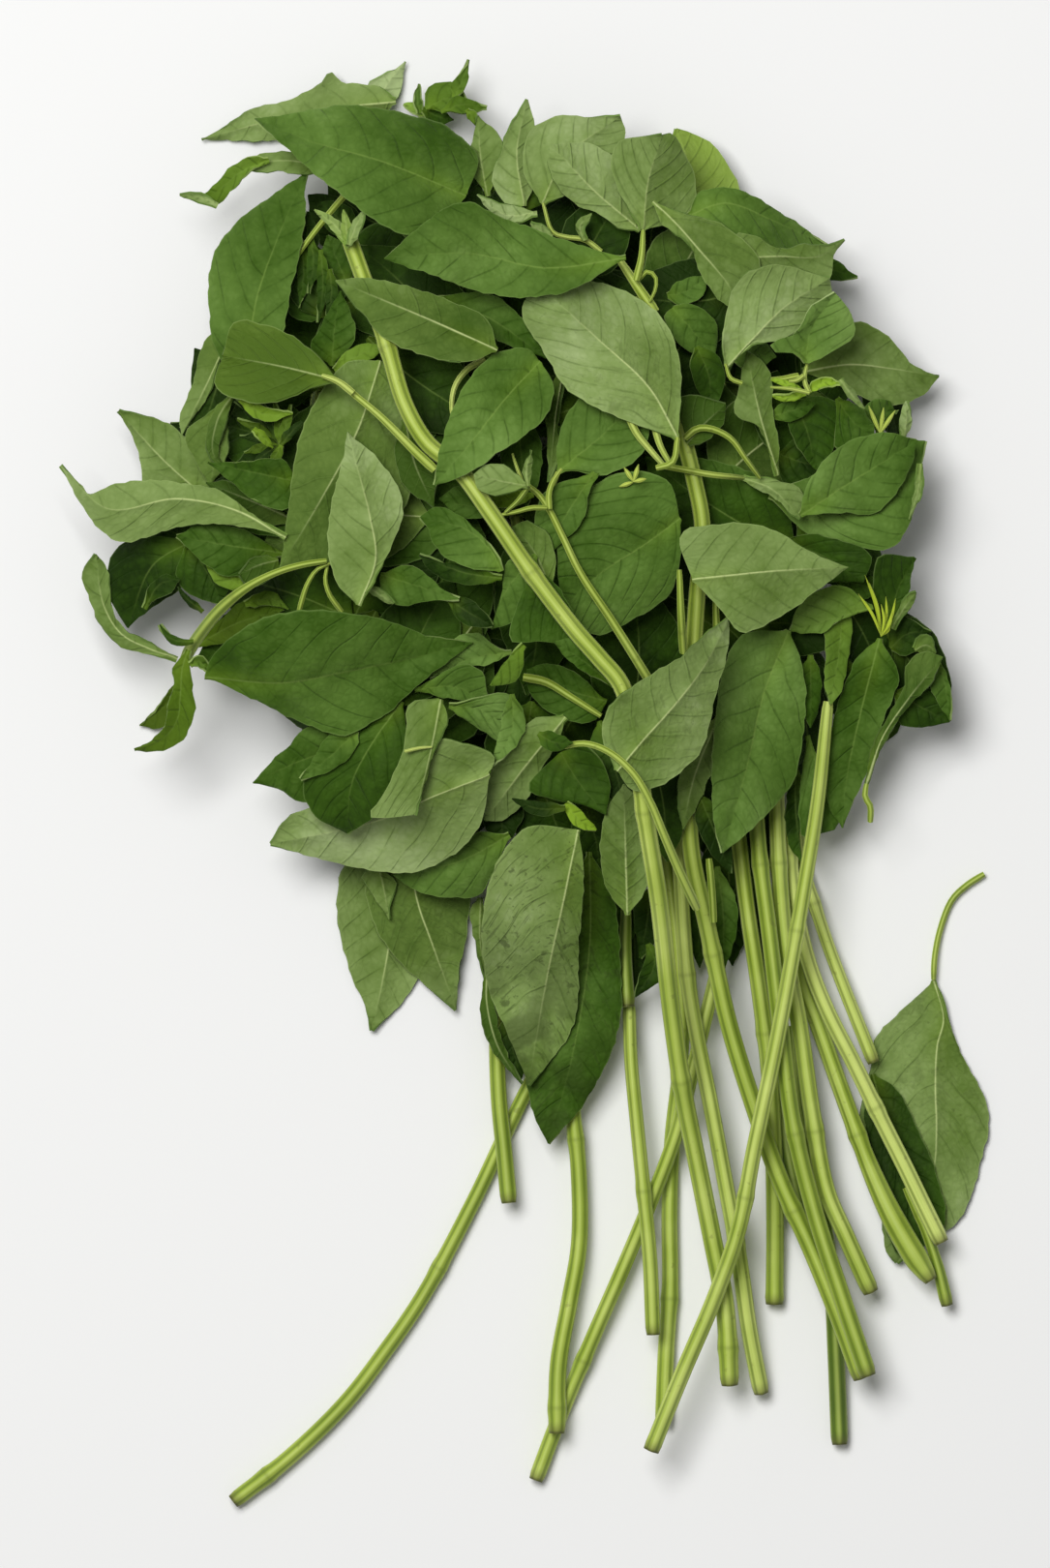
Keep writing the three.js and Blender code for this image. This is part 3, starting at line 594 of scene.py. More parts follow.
def blade_tree(face_material, under_material):
    graph, sizes = geometry_tree("basil_blade", {
        "Quilting": 0.28 * MM, "Midrib": 0.3 * MM, "Tooth": 0.32 * MM, "Ragged": 1.4 * MM,
        "Thickness": BLADE * MM, "Sharp Edge": 1.0})
    at = leaf_pattern(graph)
    normal = graph.node("GeometryNodeInputNormal").outputs[0]

    inner = (1.0 - at["v"] ** 4.0) * at["d"].step_from(0.0, 2.2) * at["grown"].step_from(1.0, 0.85)
    quilts = (at["phase"] * math.pi).sine().size() ** 0.75
    swell = quilts * inner * at["face"] * Field(graph, sizes["Quilting"])
    teeth = ((at["along"] * 0.27 + at["drift"] + at["seed"]).fract() - 0.6) * Field(graph, sizes["Tooth"])
    margin_side = graph.maths("SIGN", at["across"]) * 30.0
    outline = graph.noise(0.2, 2.0, graph.vector(at["along"], margin_side, at["seed"]))
    reach = at["v"].step_from(0.8, 1.0) * at["grown"].step_from(0.02, 0.2) * at["grown"].step_from(0.99, 0.9)
    edge = (teeth + (outline - 0.5) * Field(graph, sizes["Ragged"])) * reach
    tooth = graph.scaled(graph.attribute("out"), edge)
    quilted = graph.moved(sizes["Geometry"], graph.added(graph.scaled(normal, swell), tooth))

    ends = at["grown"].step_from(0.0, 0.03) * at["grown"].step_from(1.0, 0.9)
    rib = at["d"].bump_at(0.0, MIDRIB_HALF) * (1.15 - at["grown"]) * ends * Field(graph, sizes["Midrib"])
    under_up = graph.maths("LESS_THAN", at["face"], 0.0)
    top = graph.moved(quilted, graph.scaled(normal, rib * under_up))
    pushed = graph.node("GeometryNodeExtrudeMesh", {
        "Mesh": quilted, "Offset Scale": Field(graph, sizes["Thickness"]) * -1.0, "Individual": False})
    ridged = graph.moved(pushed.outputs["Mesh"], graph.scaled(normal, rib * (under_up - 1.0)),
                         pushed.outputs["Top"])
    back = graph.node("GeometryNodeFlipFaces", {"Mesh": ridged}).outputs[0]

    parts = []
    for surface, is_back in ((top, 0.0), (back, 1.0)):
        marked = graph.node("GeometryNodeStoreNamedAttribute", {
            "Geometry": surface, "Name": "back", "Value": is_back}, data_type="FLOAT", domain="FACE")
        parts.append(marked.outputs[0])
    both = graph.node("GeometryNodeJoinGeometry")
    for part in reversed(parts):
        graph.tree.links.new(part, both.inputs[0])
    closed = graph.node("GeometryNodeMergeByDistance", {"Geometry": both.outputs[0], "Distance": 1e-6})
    smooth = graph.smoothed(closed.outputs[0], sizes["Sharp Edge"])

    turned = (graph.named("back") - graph.maths("LESS_THAN", at["face"], 0.0)).size()
    shows_under = graph.maths("GREATER_THAN", turned, 0.5)
    return finish_tree(graph, smooth, (None, face_material), (shows_under, under_material))

# %% [markdown]
# ## Growing the surfaces: stems
#
# A basil stem is four-sided with rounded ribs, and it swells where a pair of leaves grew. The tree makes
# its line a curve and sweeps a ribbed profile along it, thicker at each node. The caps at its two ends are
# the only faces with more than four corners, and so they are easy to find and finish as cut pith.

# %% The stem's node tree
PROFILE_SIDES = 16


def stem_tree(skin, pith):
    graph, sizes = geometry_tree("ribbed_stem", {
        "Rib Depth": 0.1, "Node Gap": NODE_GAP, "Node Swelling": 0.14, "Sharp Edge": 0.9})
    line = graph.node("GeometryNodeMeshToCurve", {"Mesh": sizes["Geometry"]}).outputs[0]
    run, seed, _ = graph.split(graph.attribute("run"))
    gap = Field(graph, sizes["Node Gap"])
    from_node = ((run / gap + seed).fract() - 0.5) * gap
    swelling = 1.0 + from_node.bump_at(0.0, 1.5) * Field(graph, sizes["Node Swelling"])

    circle = graph.node("GeometryNodeCurvePrimitiveCircle", {"Resolution": PROFILE_SIDES, "Radius": 1.0})
    place = graph.node("GeometryNodeInputPosition").outputs[0]
    ringed = graph.node("GeometryNodeStoreNamedAttribute", {
        "Geometry": circle.outputs[0], "Name": "ring", "Value": place}, data_type="FLOAT_VECTOR")
    x, y, _ = graph.split(place)
    four = graph.maths("COSINE", graph.maths("ARCTAN2", y, x) * 4.0)
    ribbed = graph.moved(ringed.outputs[0], graph.scaled(place, four * Field(graph, sizes["Rib Depth"])))
    swept = graph.node("GeometryNodeCurveToMesh", {
        "Curve": line, "Profile Curve": ribbed, "Scale": graph.named("thick") * swelling, "Fill Caps": True})
    smooth = graph.smoothed(swept.outputs[0], sizes["Sharp Edge"])
    corners = graph.node("GeometryNodeInputMeshFaceNeighbors").outputs["Vertex Count"]
    is_cap = graph.maths("GREATER_THAN", corners, 4.5)
    return finish_tree(graph, smooth, (None, skin), (is_cap, pith))

# %% [markdown]
# ## Finishes
#
# Basil's upper face is a deep matt green, and its underside is paler and greyer, with raised pale veins.
# Both are downy, so they scatter light softly and hardly shine. Each leaf carries its own lightness, a
# warmth for young growth and a wear for bruises. Noise in the object's own space varies the green within a
# leaf. The leaf's own coordinates draw the veins, with painted shade along the side veins, a broad change
# of tone across the blade that is partly painted shading, a painted highlight along the margin, and the
# fine network between the veins.

# %% Helpers for materials
def green(red, green_part, blue, alpha=1.0):
    """A colour given as it looks on a screen, 0 to 255, in the linear values that shaders use."""
    parts = [c / 255 for c in (red, green_part, blue)]
    return tuple(c / 12.92 if c <= 0.04045 else ((c + 0.055) / 1.055) ** 2.4 for c in parts) + (alpha,)


class Finish(Graph):
    """A material and the shader graph that paints it."""

    def __init__(self, name, **fixed):
        self.material = bpy.data.materials.new(name)
        self.material.use_nodes = True
        super().__init__(self.material.node_tree)
        self.shader = next(n for n in self.tree.nodes if n.type == "BSDF_PRINCIPLED")
        for socket, value in fixed.items():
            self.shader.inputs[socket.replace("_", " ")].default_value = value
        self.place = self.node("ShaderNodeTexCoord").outputs["Object"]

    def ramp(self, position, colours):
        """A colour from evenly spaced colours."""
        made = self.node("ShaderNodeValToRGB", {"Fac": position})
        stops = made.color_ramp.elements
        for k, colour in enumerate(colours):
            stop = stops[k] if k < 2 else stops.new(1.0)
            stop.color = colour
        for k, stop in enumerate(stops):
            stop.position = k / (len(colours) - 1)
        return made.outputs["Color"]

    def mixed(self, amount, one, other):
        made = self.node("ShaderNodeMix", data_type="RGBA")
        for index, value in ((0, amount), (6, one), (7, other)):
            self.feed(made.inputs[index], value)
        return made.outputs[2]

    def cells(self, scale, vector):
        """How far each place is from the edge of its cell, in a network of irregular cells."""
        sockets = {"Vector": vector, "Scale": scale}
        made = self.node("ShaderNodeTexVoronoi", sockets, feature="DISTANCE_TO_EDGE")
        return Field(self, made.outputs["Distance"])

    def finish(self, colour, roughness, height):
        """Connects the paint, and a height in millimetres for the bump."""
        self.feed(self.shader.inputs["Base Color"], colour)
        self.feed(self.shader.inputs["Roughness"], roughness)
        bump = self.node("ShaderNodeBump", {"Height": height, "Strength": 1.0, "Distance": MM})
        self.feed(self.shader.inputs["Normal"], bump.outputs[0])
        return self.material

# %% The two faces of a leaf
BRUISE = green(34, 42, 16)
SHEEN, GLINT = green(204, 226, 150), green(214, 236, 170)


def leaf_finish(name, greens, young, rim, midrib, side_vein_shade, network, down):
    """`midrib` and `side_vein_shade` are (colour, half-width in mm, strength). `network` is how high the tissue
    stands between the small veins, in mm, and `down` is how downy the face is."""
    paint = Finish(name, Sheen_Weight=down, Sheen_Roughness=0.45, Specular_IOR_Level=0.22)
    paint.shader.inputs["Specular Tint"].default_value = GLINT
    paint.shader.inputs["Sheen Tint"].default_value = SHEEN
    at = leaf_pattern(paint)
    lightness, warmth, wear = paint.split(paint.attribute("look"))
    margin = at["v"].step_from(1.0, 0.9)

    tiles = paint.cells(0.62, at["place"]).step_from(0.0, 0.32)
    cloudy = paint.noise(70.0, 3.0) - 0.5
    mottled = paint.noise(420.0, 4.0) - 0.5
    # Partly random tone and partly painted shading: a broad noise across each blade makes one part of it
    # lighter and another darker.
    tone_and_painted_shade_across = paint.noise(0.045, 0.0, at["place"]) - 0.5
    bands = (at["phase"].fract() - 0.5).size() * (1.0 - at["v"] ** 3.0)
    shade = lightness + cloudy * 0.6 + mottled * 0.26 + tone_and_painted_shade_across * 0.8
    colour = paint.ramp(shade + (tiles - 0.7) * 0.05 - bands * 0.14, greens)
    near_stalk = at["d"].bump_at(0.0, 2.5) * at["grown"].step_from(0.45, 0.0) * 0.15
    colour = paint.mixed(warmth + cloudy * warmth + near_stalk, colour, young)

    drawn = paint.noise(0.2, 2.0, at["place"]).step_from(0.25, 0.6)
    side_fade = margin * at["grown"].step_from(1.02, 0.9) * drawn
    midrib_fade = at["grown"].step_from(0.98, 0.35) * (at["long"].step_from(12.0, 36.0) * 0.7 + 0.3)
    # The side veins are drawn darker than the tissue around them: painted shade along the veins.
    for vein, distance, fade in ((side_vein_shade, at["from_vein"], side_fade), (midrib, at["d"], midrib_fade)):
        vein_colour, half_width, strength = vein
        colour = paint.mixed(distance.bump_at(0.0, half_width) * fade * strength, colour, vein_colour)
    # Painted highlight along the margin: the outermost few per cent of each half-blade is mixed towards
    # `rim`.
    colour = paint.mixed(at["v"].step_from(0.965, 0.995) * 0.3, colour, rim)

    spots = paint.noise(190.0, 5.0, roughness=0.62).step_from(0.57, 0.65) * wear
    flecks = paint.noise(900.0, 2.0).step_from(0.66, 0.72) * (wear * 0.7 + 0.12)
    along_veins = paint.vector(at["phase"] * 9.0, at["d"] * 0.5, at["seed"])
    streaks = paint.noise(0.7, 3.0, along_veins).step_from(0.57, 0.65) * wear
    wilted = at["grown"].step_from(0.45, 0.8) * paint.noise(130.0, 4.0).step_from(0.36, 0.56) * wear * 1.2
    marks = paint.maths("MAXIMUM", spots, flecks)
    worn = paint.maths("MAXIMUM", marks, paint.maths("MAXIMUM", streaks, wilted) * 0.8)
    colour = paint.mixed(paint.maths("MULTIPLY", worn, 0.8, clamp=True), colour, BRUISE)

    sunk = at["from_vein"].bump_at(0.0, 0.26) * margin * drawn
    hair = paint.noise(2600.0, 2.0) * 0.035
    height = tiles * network - sunk * (network * 2.4) + hair
    roughness = 0.56 + paint.noise(160.0) * 0.2
    return paint.finish(colour, roughness, height)


# `rim` is the colour of the painted highlight along each margin.
upper_face = leaf_finish(
    "basil_upper_face",
    greens=[green(20, 42, 2), green(50, 80, 14), green(84, 114, 44), green(116, 146, 72)],
    young=green(146, 180, 44), rim=green(126, 152, 84),
    midrib=(green(132, 158, 76), 0.17, 0.4), side_vein_shade=(green(30, 58, 8), 0.2, 0.3), network=0.06, down=0.05)
# The underside's side veins are drawn darker as well: painted shade along them.
underside = leaf_finish(
    "basil_underside",
    greens=[green(54, 80, 20), green(90, 114, 48), green(124, 146, 82), green(160, 178, 122)],
    young=green(150, 180, 60), rim=green(158, 178, 112),
    midrib=(green(206, 218, 150), 0.15, 0.65), side_vein_shade=(green(88, 112, 50), 0.14, 0.42), network=-0.06,
    down=0.08)
print("leaf faces:", upper_face.name, underside.name)

# %% [markdown]
# A stem's skin is a light green, with a painted highlight along its ribs and painted shade in its grooves.
# Long fibres run along it, and the end dries brown where it was cut. The pith inside is pale and grainy.

# %% Stem skin, and the pith where a stem is cut
def stem_finish():
    paint = Finish("basil_stem_skin", Sheen_Weight=0.08, Specular_IOR_Level=0.3)
    run, seed, lightness = paint.split(paint.attribute("run"))
    x, y, _ = paint.split(paint.attribute("ring"))
    turn = paint.maths("ARCTAN2", y, x)
    ribs = paint.maths("COSINE", turn * 4.0) * 0.5 + 0.5
    fibres = paint.noise(1.0, 3.0, paint.vector(x * 2.6, y * 2.6, run * 0.03 + seed))
    patches = paint.noise(0.09, 2.0, paint.vector(run, seed, 0.0))
    tone = lightness + (fibres - 0.5) * 0.6 + (patches - 0.5) * 0.5
    colour = paint.ramp(tone, [
        green(78, 104, 14), green(118, 142, 32), green(154, 176, 58), green(204, 218, 118)])
    # Painted highlight along the rib crests, then painted shade in the grooves between the ribs.
    colour = paint.mixed(ribs * ribs * 0.45, colour, green(192, 208, 108))
    colour = paint.mixed(ribs.step_from(0.4, 0.0) * 0.5, colour, green(66, 90, 10))
    colour = paint.mixed(lightness.step_from(1.0, 1.2), colour, green(176, 196, 44))
    near_joint = ((run / NODE_GAP + seed).fract() - 0.5) * NODE_GAP
    colour = paint.mixed(near_joint.bump_at(0.0, 0.5) * 0.28, colour, green(96, 112, 34))
    colour = paint.mixed(run.step_from(3.0, 0.0) * 0.65, colour, green(92, 92, 40))
    colour = paint.mixed(run.step_from(0.75, 0.15) * 0.6, colour, green(50, 44, 20))
    scars = paint.noise(420.0, 3.0).step_from(0.66, 0.74) * 0.35
    colour = paint.mixed(scars, colour, green(96, 98, 44))
    height = ribs * 0.05 + fibres * 0.12 + paint.noise(2600.0, 2.0) * 0.03
    return paint.finish(colour, 0.45 + fibres * 0.16, height)


def pith_finish():
    paint = Finish("cut_pith", Specular_IOR_Level=0.3)
    grain = paint.noise(1500.0, 4.0)
    colour = paint.ramp(grain, [green(120, 122, 70), green(176, 186, 118), green(206, 212, 150)])
    return paint.finish(colour, 0.7 + grain * 0.1, grain * 0.12)


stem_skin = stem_finish()
cut_pith = pith_finish()
leaf_tree = blade_tree(upper_face, underside)
ribbed_tree = stem_tree(stem_skin, cut_pith)
print("node trees:", len(leaf_tree.nodes), "nodes for a blade,", len(ribbed_tree.nodes), "for a stem")

# %% [markdown]
# ## What is buried
#
# Under the leaves on show are whole shoots: a stem with a pair of leaves every couple of centimetres. The
# frame has three. Loose leaves fill the rest of the dome, because a hollow pile would look wrong from the
# side. They are plain leaves from a formula, laid at several depths from the bottom up, and they point
# outwards as the shoots do. None comes near the rim.

# %% A plain leaf
HELD_IN = 5                   # how far under the dome's skin a buried leaf's tip stays, in mm


def plain_leaf(batch, base, angle, length, width, sink, tone, face=UPPER, inside=None):
    """A leaf from a formula. It is shortened until its tip is well inside the dome."""
    inside = sink + HELD_IN if inside is None else inside
    heading = np.array([math.cos(angle), math.sin(angle)])
    while dome_height(*(np.array(base) + heading * length)) < inside and length > 10:
        length -= 1
    if dome_height(*(np.array(base) + heading * length)) < inside - 3:
        return
    bow = rng.uniform(-0.12, 0.12) * length
    across = np.array([-heading[1], heading[0]])
    rib = np.concatenate([np.array(base) + heading * length * t + across * bow * math.sin(math.pi * t)
                          for t in (0, 0.35, 0.7, 1)])
    lay_leaf(batch, face, tone, rib, *margins_of(rib, min(width, length * 0.7)), sink=sink,
             wave=0.25, bend=0.03, form=0.5)

# %% A shoot, and a layer of loose leaves
SHOOT_RADIUS, SHOOT_STEM_BELOW = 1.3, 3.6
PAIR_GAP, PAIR_ANGLE = 18, 1.05
PAIR_LENGTH, PAIR_WIDTH = 37, 25
LOOSE_LENGTHS, LOOSE_WIDTHS, LOOSE_TONES = (26, 40), (17, 24), (0.0, 0.3)
GOLDEN_ANGLE = math.pi * (3 - math.sqrt(5))


def lay_shoot(name, sink, route):
    """The frame's buried shoot: its stem, then its pairs of leaves."""
    line = through(pairs(route), 40)
    lay_stem(name + "_stem", SHOOT_RADIUS, route, sink=sink + SHOOT_STEM_BELOW, tone=0.4)
    count = round(lengths(line)[-1] / PAIR_GAP)
    for pair in range(count + 1):
        at = round(1 + (len(line) - 3) * pair / count)
        heading = math.atan2(*(line[at + 1] - line[at - 1])[::-1])
        for side in (-1, 1):
            angle = heading + side * (PAIR_ANGLE + 0.18 * math.sin(5 * pair + side))
            length = PAIR_LENGTH * (1 + 0.16 * math.sin(3 * pair + 2 * side))
            plain_leaf(name + "_leaves", line[at], angle, length, PAIR_WIDTH, sink, rng.uniform(0.1, 0.4))


def fill(batch, count, sink, spread, faces=(UPPER, UPPER, UNDER), inside=None):
    """Loose leaves at one depth, spread over the dome by the golden angle and pointing outwards."""
    for k in range(count):
        far = spread * math.sqrt((k + 0.5) / count)
        turn = k * GOLDEN_ANGLE + sink
        towards = (math.cos(turn), math.sin(turn))
        base = [DOME["centre"][i] + DOME["radii"][i] * far * towards[i] for i in (0, 1)]
        angle = turn + rng.uniform(-0.9, 0.9) + (math.pi if far > 0.62 * spread and k % 3 == 0 else 0)
        plain_leaf(batch, base, angle, rng.uniform(*LOOSE_LENGTHS), rng.uniform(*LOOSE_WIDTHS), sink,
                   rng.uniform(*LOOSE_TONES), faces[k % len(faces)], inside)

# %% Filling the dome from the bottom up
ROOM = 4.0                    # how much deeper than the frame's shoots these lie, so that the top leaves fit

fill("inner_leaves_lowest", 44, 40, 0.8, faces=(UPPER,), inside=7)
fill("inner_leaves_deep", 12, 22, 0.45)
lay_shoot("shoot_centre", 12.6 + ROOM, [6, 4, 1, 35, -4, 68, -10, 106])
fill("inner_leaves_middle", 12, 10 + ROOM, 0.66)
lay_shoot("shoot_right", 7.4 + ROOM, [34, 14, 44, 45, 43, 72, 32, 100])
lay_shoot("shoot_left", 2.2 + ROOM, [-20, 4, -34, 30, -44, 62, -40, 100])
fill("inner_leaves_top", 30, 1 + ROOM, 0.8)


def tell(what):
    """Prints how far the pile has grown."""
    blades, stems = (sum(map(len, batches.values())) for batches in (sheets, tubes))
    print(f"{what}: {blades} blades and {stems} stems and stalks so far, {pile.max():.1f} mm high")


tell("buried leaves")

# %% [markdown]
# ## The plan of the bunch
#
# From here on, each call lays one piece, in order from the table up. A leaf's first number is its tone, from
# 0 for the darkest to 1. Its first list is its midrib from base to tip, and the next two are its margins
# between those ends. A stem is its radius, its tone and its route from the cut end up into the head. All are
# plan positions in millimetres in the frame's own axes.

# %% Short names for the calls
STALK_RADIUS, STALK_TONE = 0.6, 0.62
STALK_LIFT = 0.1
THIN = {"bend": STALK_BEND, "coarse": 3.0, "step": 1.2}


def leaf(name, face, tone, rib, one, other, *, stalk=None, **how):
    """A leaf of the frame, where it has one of that name, or else a small one that joins its neighbours."""
    twin = "leaf_" + name
    spot = np.mean(pairs(rib), axis=0)
    if twin not in nodes:
        twin = None
        where = "top" if spot[1] > 96 else "low" if spot[1] < 20 else "left" if spot[0] < 6 else "right"
    batch = twin or "small_leaves_" + where
    base = lay_leaf(batch, face, tone, rib, one, other, twin=twin, **how)
    if stalk:
        route = [*stalk, *rib[:2]]
        lay_stem("leaf_stalks", STALK_RADIUS, route, tone=STALK_TONE, end_height=base + STALK_LIFT, **THIN)


def upper(name, tone, rib, one, other, **how):
    leaf(name, UPPER, tone, rib, one, other, **how)


def lower(name, tone, rib, one, other, **how):
    leaf(name, UNDER, tone, rib, one, other, **how)


def strip(name, face, tone, width, rib, **how):
    """A narrow leaf or a scrap of one, given by its midrib and its width."""
    leaf(name, face, tone, rib, *margins_of(rib, width), **how)


def stem(name, radius, tone, route, **how):
    lay_stem("stem_" + name, radius, route, tone=tone, twin="stem_" + name, **how)


def stalk(radius, tone, *route, shape=lambda t: 1.1 - 0.45 * t):
    """A leaf stalk or a side shoot's stem, thinner towards its end."""
    lay_stem("leaf_stalks", radius, route, tone=tone, shape=shape, **THIN)


def stalks(*several):
    for one in several:
        stalk(*one)


def bud(*ends, radius, tone):
    """A small pointed bud."""
    lay_stem("flower_buds", radius, ends, tone=tone, bend=STALK_BEND, coarse=2.0, step=0.6,
             shape=lambda t: np.sin(np.pi * np.clip(t, 0.06, 0.97)) ** 0.7)

# %% [markdown]
# ## On the table
#
# The fallen leaf lies flat on the table, with its underside up and the ends of three stems across it. The
# stems come next, lowest first. They cross at the middle of the bunch and fan out to their cut ends.

# %% The fallen leaf, and a stem beside it
lower("fallen", 0.52,
      [84.2, -40.5, 86.3, -48.5, 85, -54, 84.6, -62, 84.8, -72, 84.2, -80, 80.4, -92, 76.6, -99],
      [82, -43, 77, -47.4, 72.4, -52.6, 71.6, -57, 69.5, -65, 69.2, -71, 71, -82, 73.6, -91, 74.4, -96.6],
      [85.7, -45, 88.5, -52, 91, -58, 94.5, -64, 95.7, -69, 93.5, -80, 90.4, -89, 86.5, -93],
      stalk=[94.7, -18.6, 91, -21, 88, -24, 85.6, -30, 84.4, -36], wear=0.25)
upper("fallen_fold", 0.22, [71.6, -60, 75, -72, 80, -84, 84.6, -94],
      [70, -66, 70.4, -76, 73.6, -90, 77.4, -97.6], [76, -62.6, 80.4, -70, 84.6, -80, 86.6, -90], wave=0.15)
stalk(1.7, 0.05, 60.5, -100, 55.6, -84, 53, -70, 51.2, -56, 50, -42, 48.4, -24)

# %% Dark leaves under the neck of the bunch, their darkness painted shade
for width, rib in (
        (9, [34, 8, 37, -4, 38, -17]), (10, [47, -2, 46.6, -14, 47, -24]),
        (12, [41, -8, 42, -22, 42.6, -37.6]), (6, [35.5, -18, 35.6, -29, 35.8, -38]),
        (8, [45, -18, 47, -28, 48.4, -38])):
    # Tone 0.12 is painted shade: these leaves are painted as dark as the shade under the stems.
    strip("under_stems", UPPER, 0.12, width, rib, wave=0.1, form=0.1)

# %% The cut stems, lowest first
stem("p", 1.3, 0.45, [87, -107.8, 84.8, -99, 82.2, -91.6, 78.4, -83.4], shape=lambda t: 1.0 - 0.4 * t)
stem("j", 1.65, 0.7, [51.3, -107.6, 51.4, -92, 51.1, -76, 50.2, -60, 48, -42, 45.6, -26, 43.4, -8])
stem("q", 1.6, 0, [64.8, -136.6, 64, -118, 63.2, -104, 61.4, -91, 58.4, -78, 56.2, -65, 55, -50])
stem("r", 1.25, 0.9, [71.8, -57.6, 69.6, -52, 66, -43, 62.6, -34, 59.6, -25, 57.2, -17, 56, -8, 55, 4])
stem("n", 1.8, 0.7,
     [83.6, -102.6, 80.4, -97.8, 75.9, -90, 71.3, -80, 67.5, -70, 63.9, -60, 60.2, -49.5, 57, -41, 55, -32],
     shape=lambda t: np.interp(t, [0, 0.07, 0.18, 0.4, 1], [0.8, 1.3, 1.25, 0.92, 0.85]))
stem("o", 1.55, 1,
     [85.8, -94.8, 82, -87, 78.4, -79.5, 73.4, -69.5, 67.8, -58, 62, -46.5, 58.2, -36.5, 55.4, -24, 53.8, -6])
stem("a", 1.5, 0.6, [-60.7, -148.4, -48.5, -138.8, -37.3, -127.8, -29, -117, -21.5, -106, -10.8, -86,
                     -4.2, -72, 0.4, -62.6, 6, -52])
stem("f", 1.55, 0.7, [28.3, -132.4, 28.9, -117, 29.7, -104, 29.6, -88, 30.2, -73, 31.8, -58, 32, -44, 28, -8],
     joint=26)
stem("d", 1.45, 0.75,
     [1.9, -144, 7, -130.5, 13.5, -115, 20, -100, 25.6, -86.5, 31, -72, 34.6, -58, 41.5, -30])
stem("c", 1.6, 0.62, [6.3, -134.2, 6.6, -120, 8.8, -107.5, 10.9, -95, 10.8, -80, 9.4, -66, 8, -50, 7.5, -34])
stem("b", 1.55, 0.5, [-3.6, -86.6, -4.6, -76, -5.7, -65, -6.1, -52, -5.4, -38, -3.6, -22])
stem("e", 1.4, 0.75, [26.2, -113.8, 25.5, -98, 24.3, -85, 22.8, -70, 21.6, -57, 21.2, -45.5])
stem("i", 1.55, 0.85, [48.6, -126, 46, -112.5, 43.9, -98, 41, -82, 38, -66, 35.2, -52, 33.2, -39, 31, -6],
     joint=88)
upper("olive_by_m", 0.6, [39.4, -17, 40.6, -27, 40.6, -38.4], [36.6, -21, 37, -30],
      [43, -23, 43.6, -29, 42.2, -35], wave=0.1, form=0.1)
stem("m", 1.7, 0.6, [69.2, -122.8, 64.5, -110, 58.6, -95.5, 52.5, -82, 46.8, -66, 41.6, -49, 37.2, -29,
                     34, -14, 33.2, 6, 34.4, 28, 35.2, 40, 36.2, 53, 34.4, 63, 31.8, 73, 28.5, 84, 22, 100])
stem("k", 1.65, 0.76, [71.2, -105, 66, -93.4, 62, -84, 59, -68, 56.4, -50, 53.8, -36, 52.2, -18, 51, 18],
     joint=35.5)
stem("l", 1.65, 0.48, [70.6, -122.2, 65, -105.5, 59.4, -88, 55, -70, 52.4, -50, 50, -30, 48, -14, 46.6, 6])
tell("cut stems")

# %% [markdown]
# ## The low leaves
#
# These leaves hang out over the table round the edge of the head, or are seen in the gaps between the
# leaves on top. Many lie with the pale side up. The smallest are side leaves that the frame leaves out.

# %% Dark leaves right at the bottom, behind the gaps, their darkness painted shade
for width, rib in (
        (12, [-42, 96, -43, 104, -43.4, 111]), (10, [-62, 88, -65, 78, -68, 70]),
        (10, [-60, 50, -70, 51, -80, 55]), (11, [-56, 34, -62, 28, -68, 26]), (16, [56, 54, 65, 48, 74, 42]),
        (11, [52, 32, 57, 22, 60, 10]), (13, [64, 40, 70, 30, 74, 20]), (9, [74, 36, 79, 29, 85, 22]),
        (11, [25, 8, 28, -3, 29, -16]), (17, [2, 2, 6, -8, 10, -20]), (7, [22, -26, 22.4, -34, 22.6, -43]),
        (9, [-4, 0, -5, -6, -5, -13]), (10, [12, -4, 14.4, -12, 15, -20]), (10, [56, 24, 58, 10, 58, -4]),
        (9, [18, -20, 19, -27, 19, -36]), (12, [58, 92, 63, 86, 65, 78]), (10, [48, 106, 52, 110, 53, 114]),
        (9, [-2, 76, -1, 67, 0, 57]), (8, [66, 26, 65.5, 19, 65, 12]), (7, [64, 42, 69, 41, 73, 40]),
        (6, [-4, -48, -3, -54, -1, -61]), (12, [-16, 108, -14, 118, -13, 129]),
        (14, [10, 104, 14, 112, 20, 122]), (9, [15, 13, 18, 4, 20.4, -6]), (9, [70, 84, 75, 78, 77, 71]),
        (9, [-8, 122, -7, 127, -5.6, 132]), (5, [-45.4, 107, -45.2, 113, -45, 118]),
        (12, [56, 100, 59, 92, 62, 86]), (14, [46, 33, 55, 33, 66, 30]), (12, [52, 68, 58, 66, 63, 66]),
        (6, [73, 8, 75, 14, 77.5, 21]), (6, [-36, 136, -38, 139, -40, 143]), (11, [0, 118, 1, 126, 3, 134]),
        (8, [-37, 103, -39, 108, -41, 113])):
    # Tone 0.12 is painted shade: these leaves are painted as dark as the shaded gaps they fill.
    strip("backing", UPPER, 0.12, width, rib, wave=0.2, form=0.5)
tell("leaves behind the gaps")

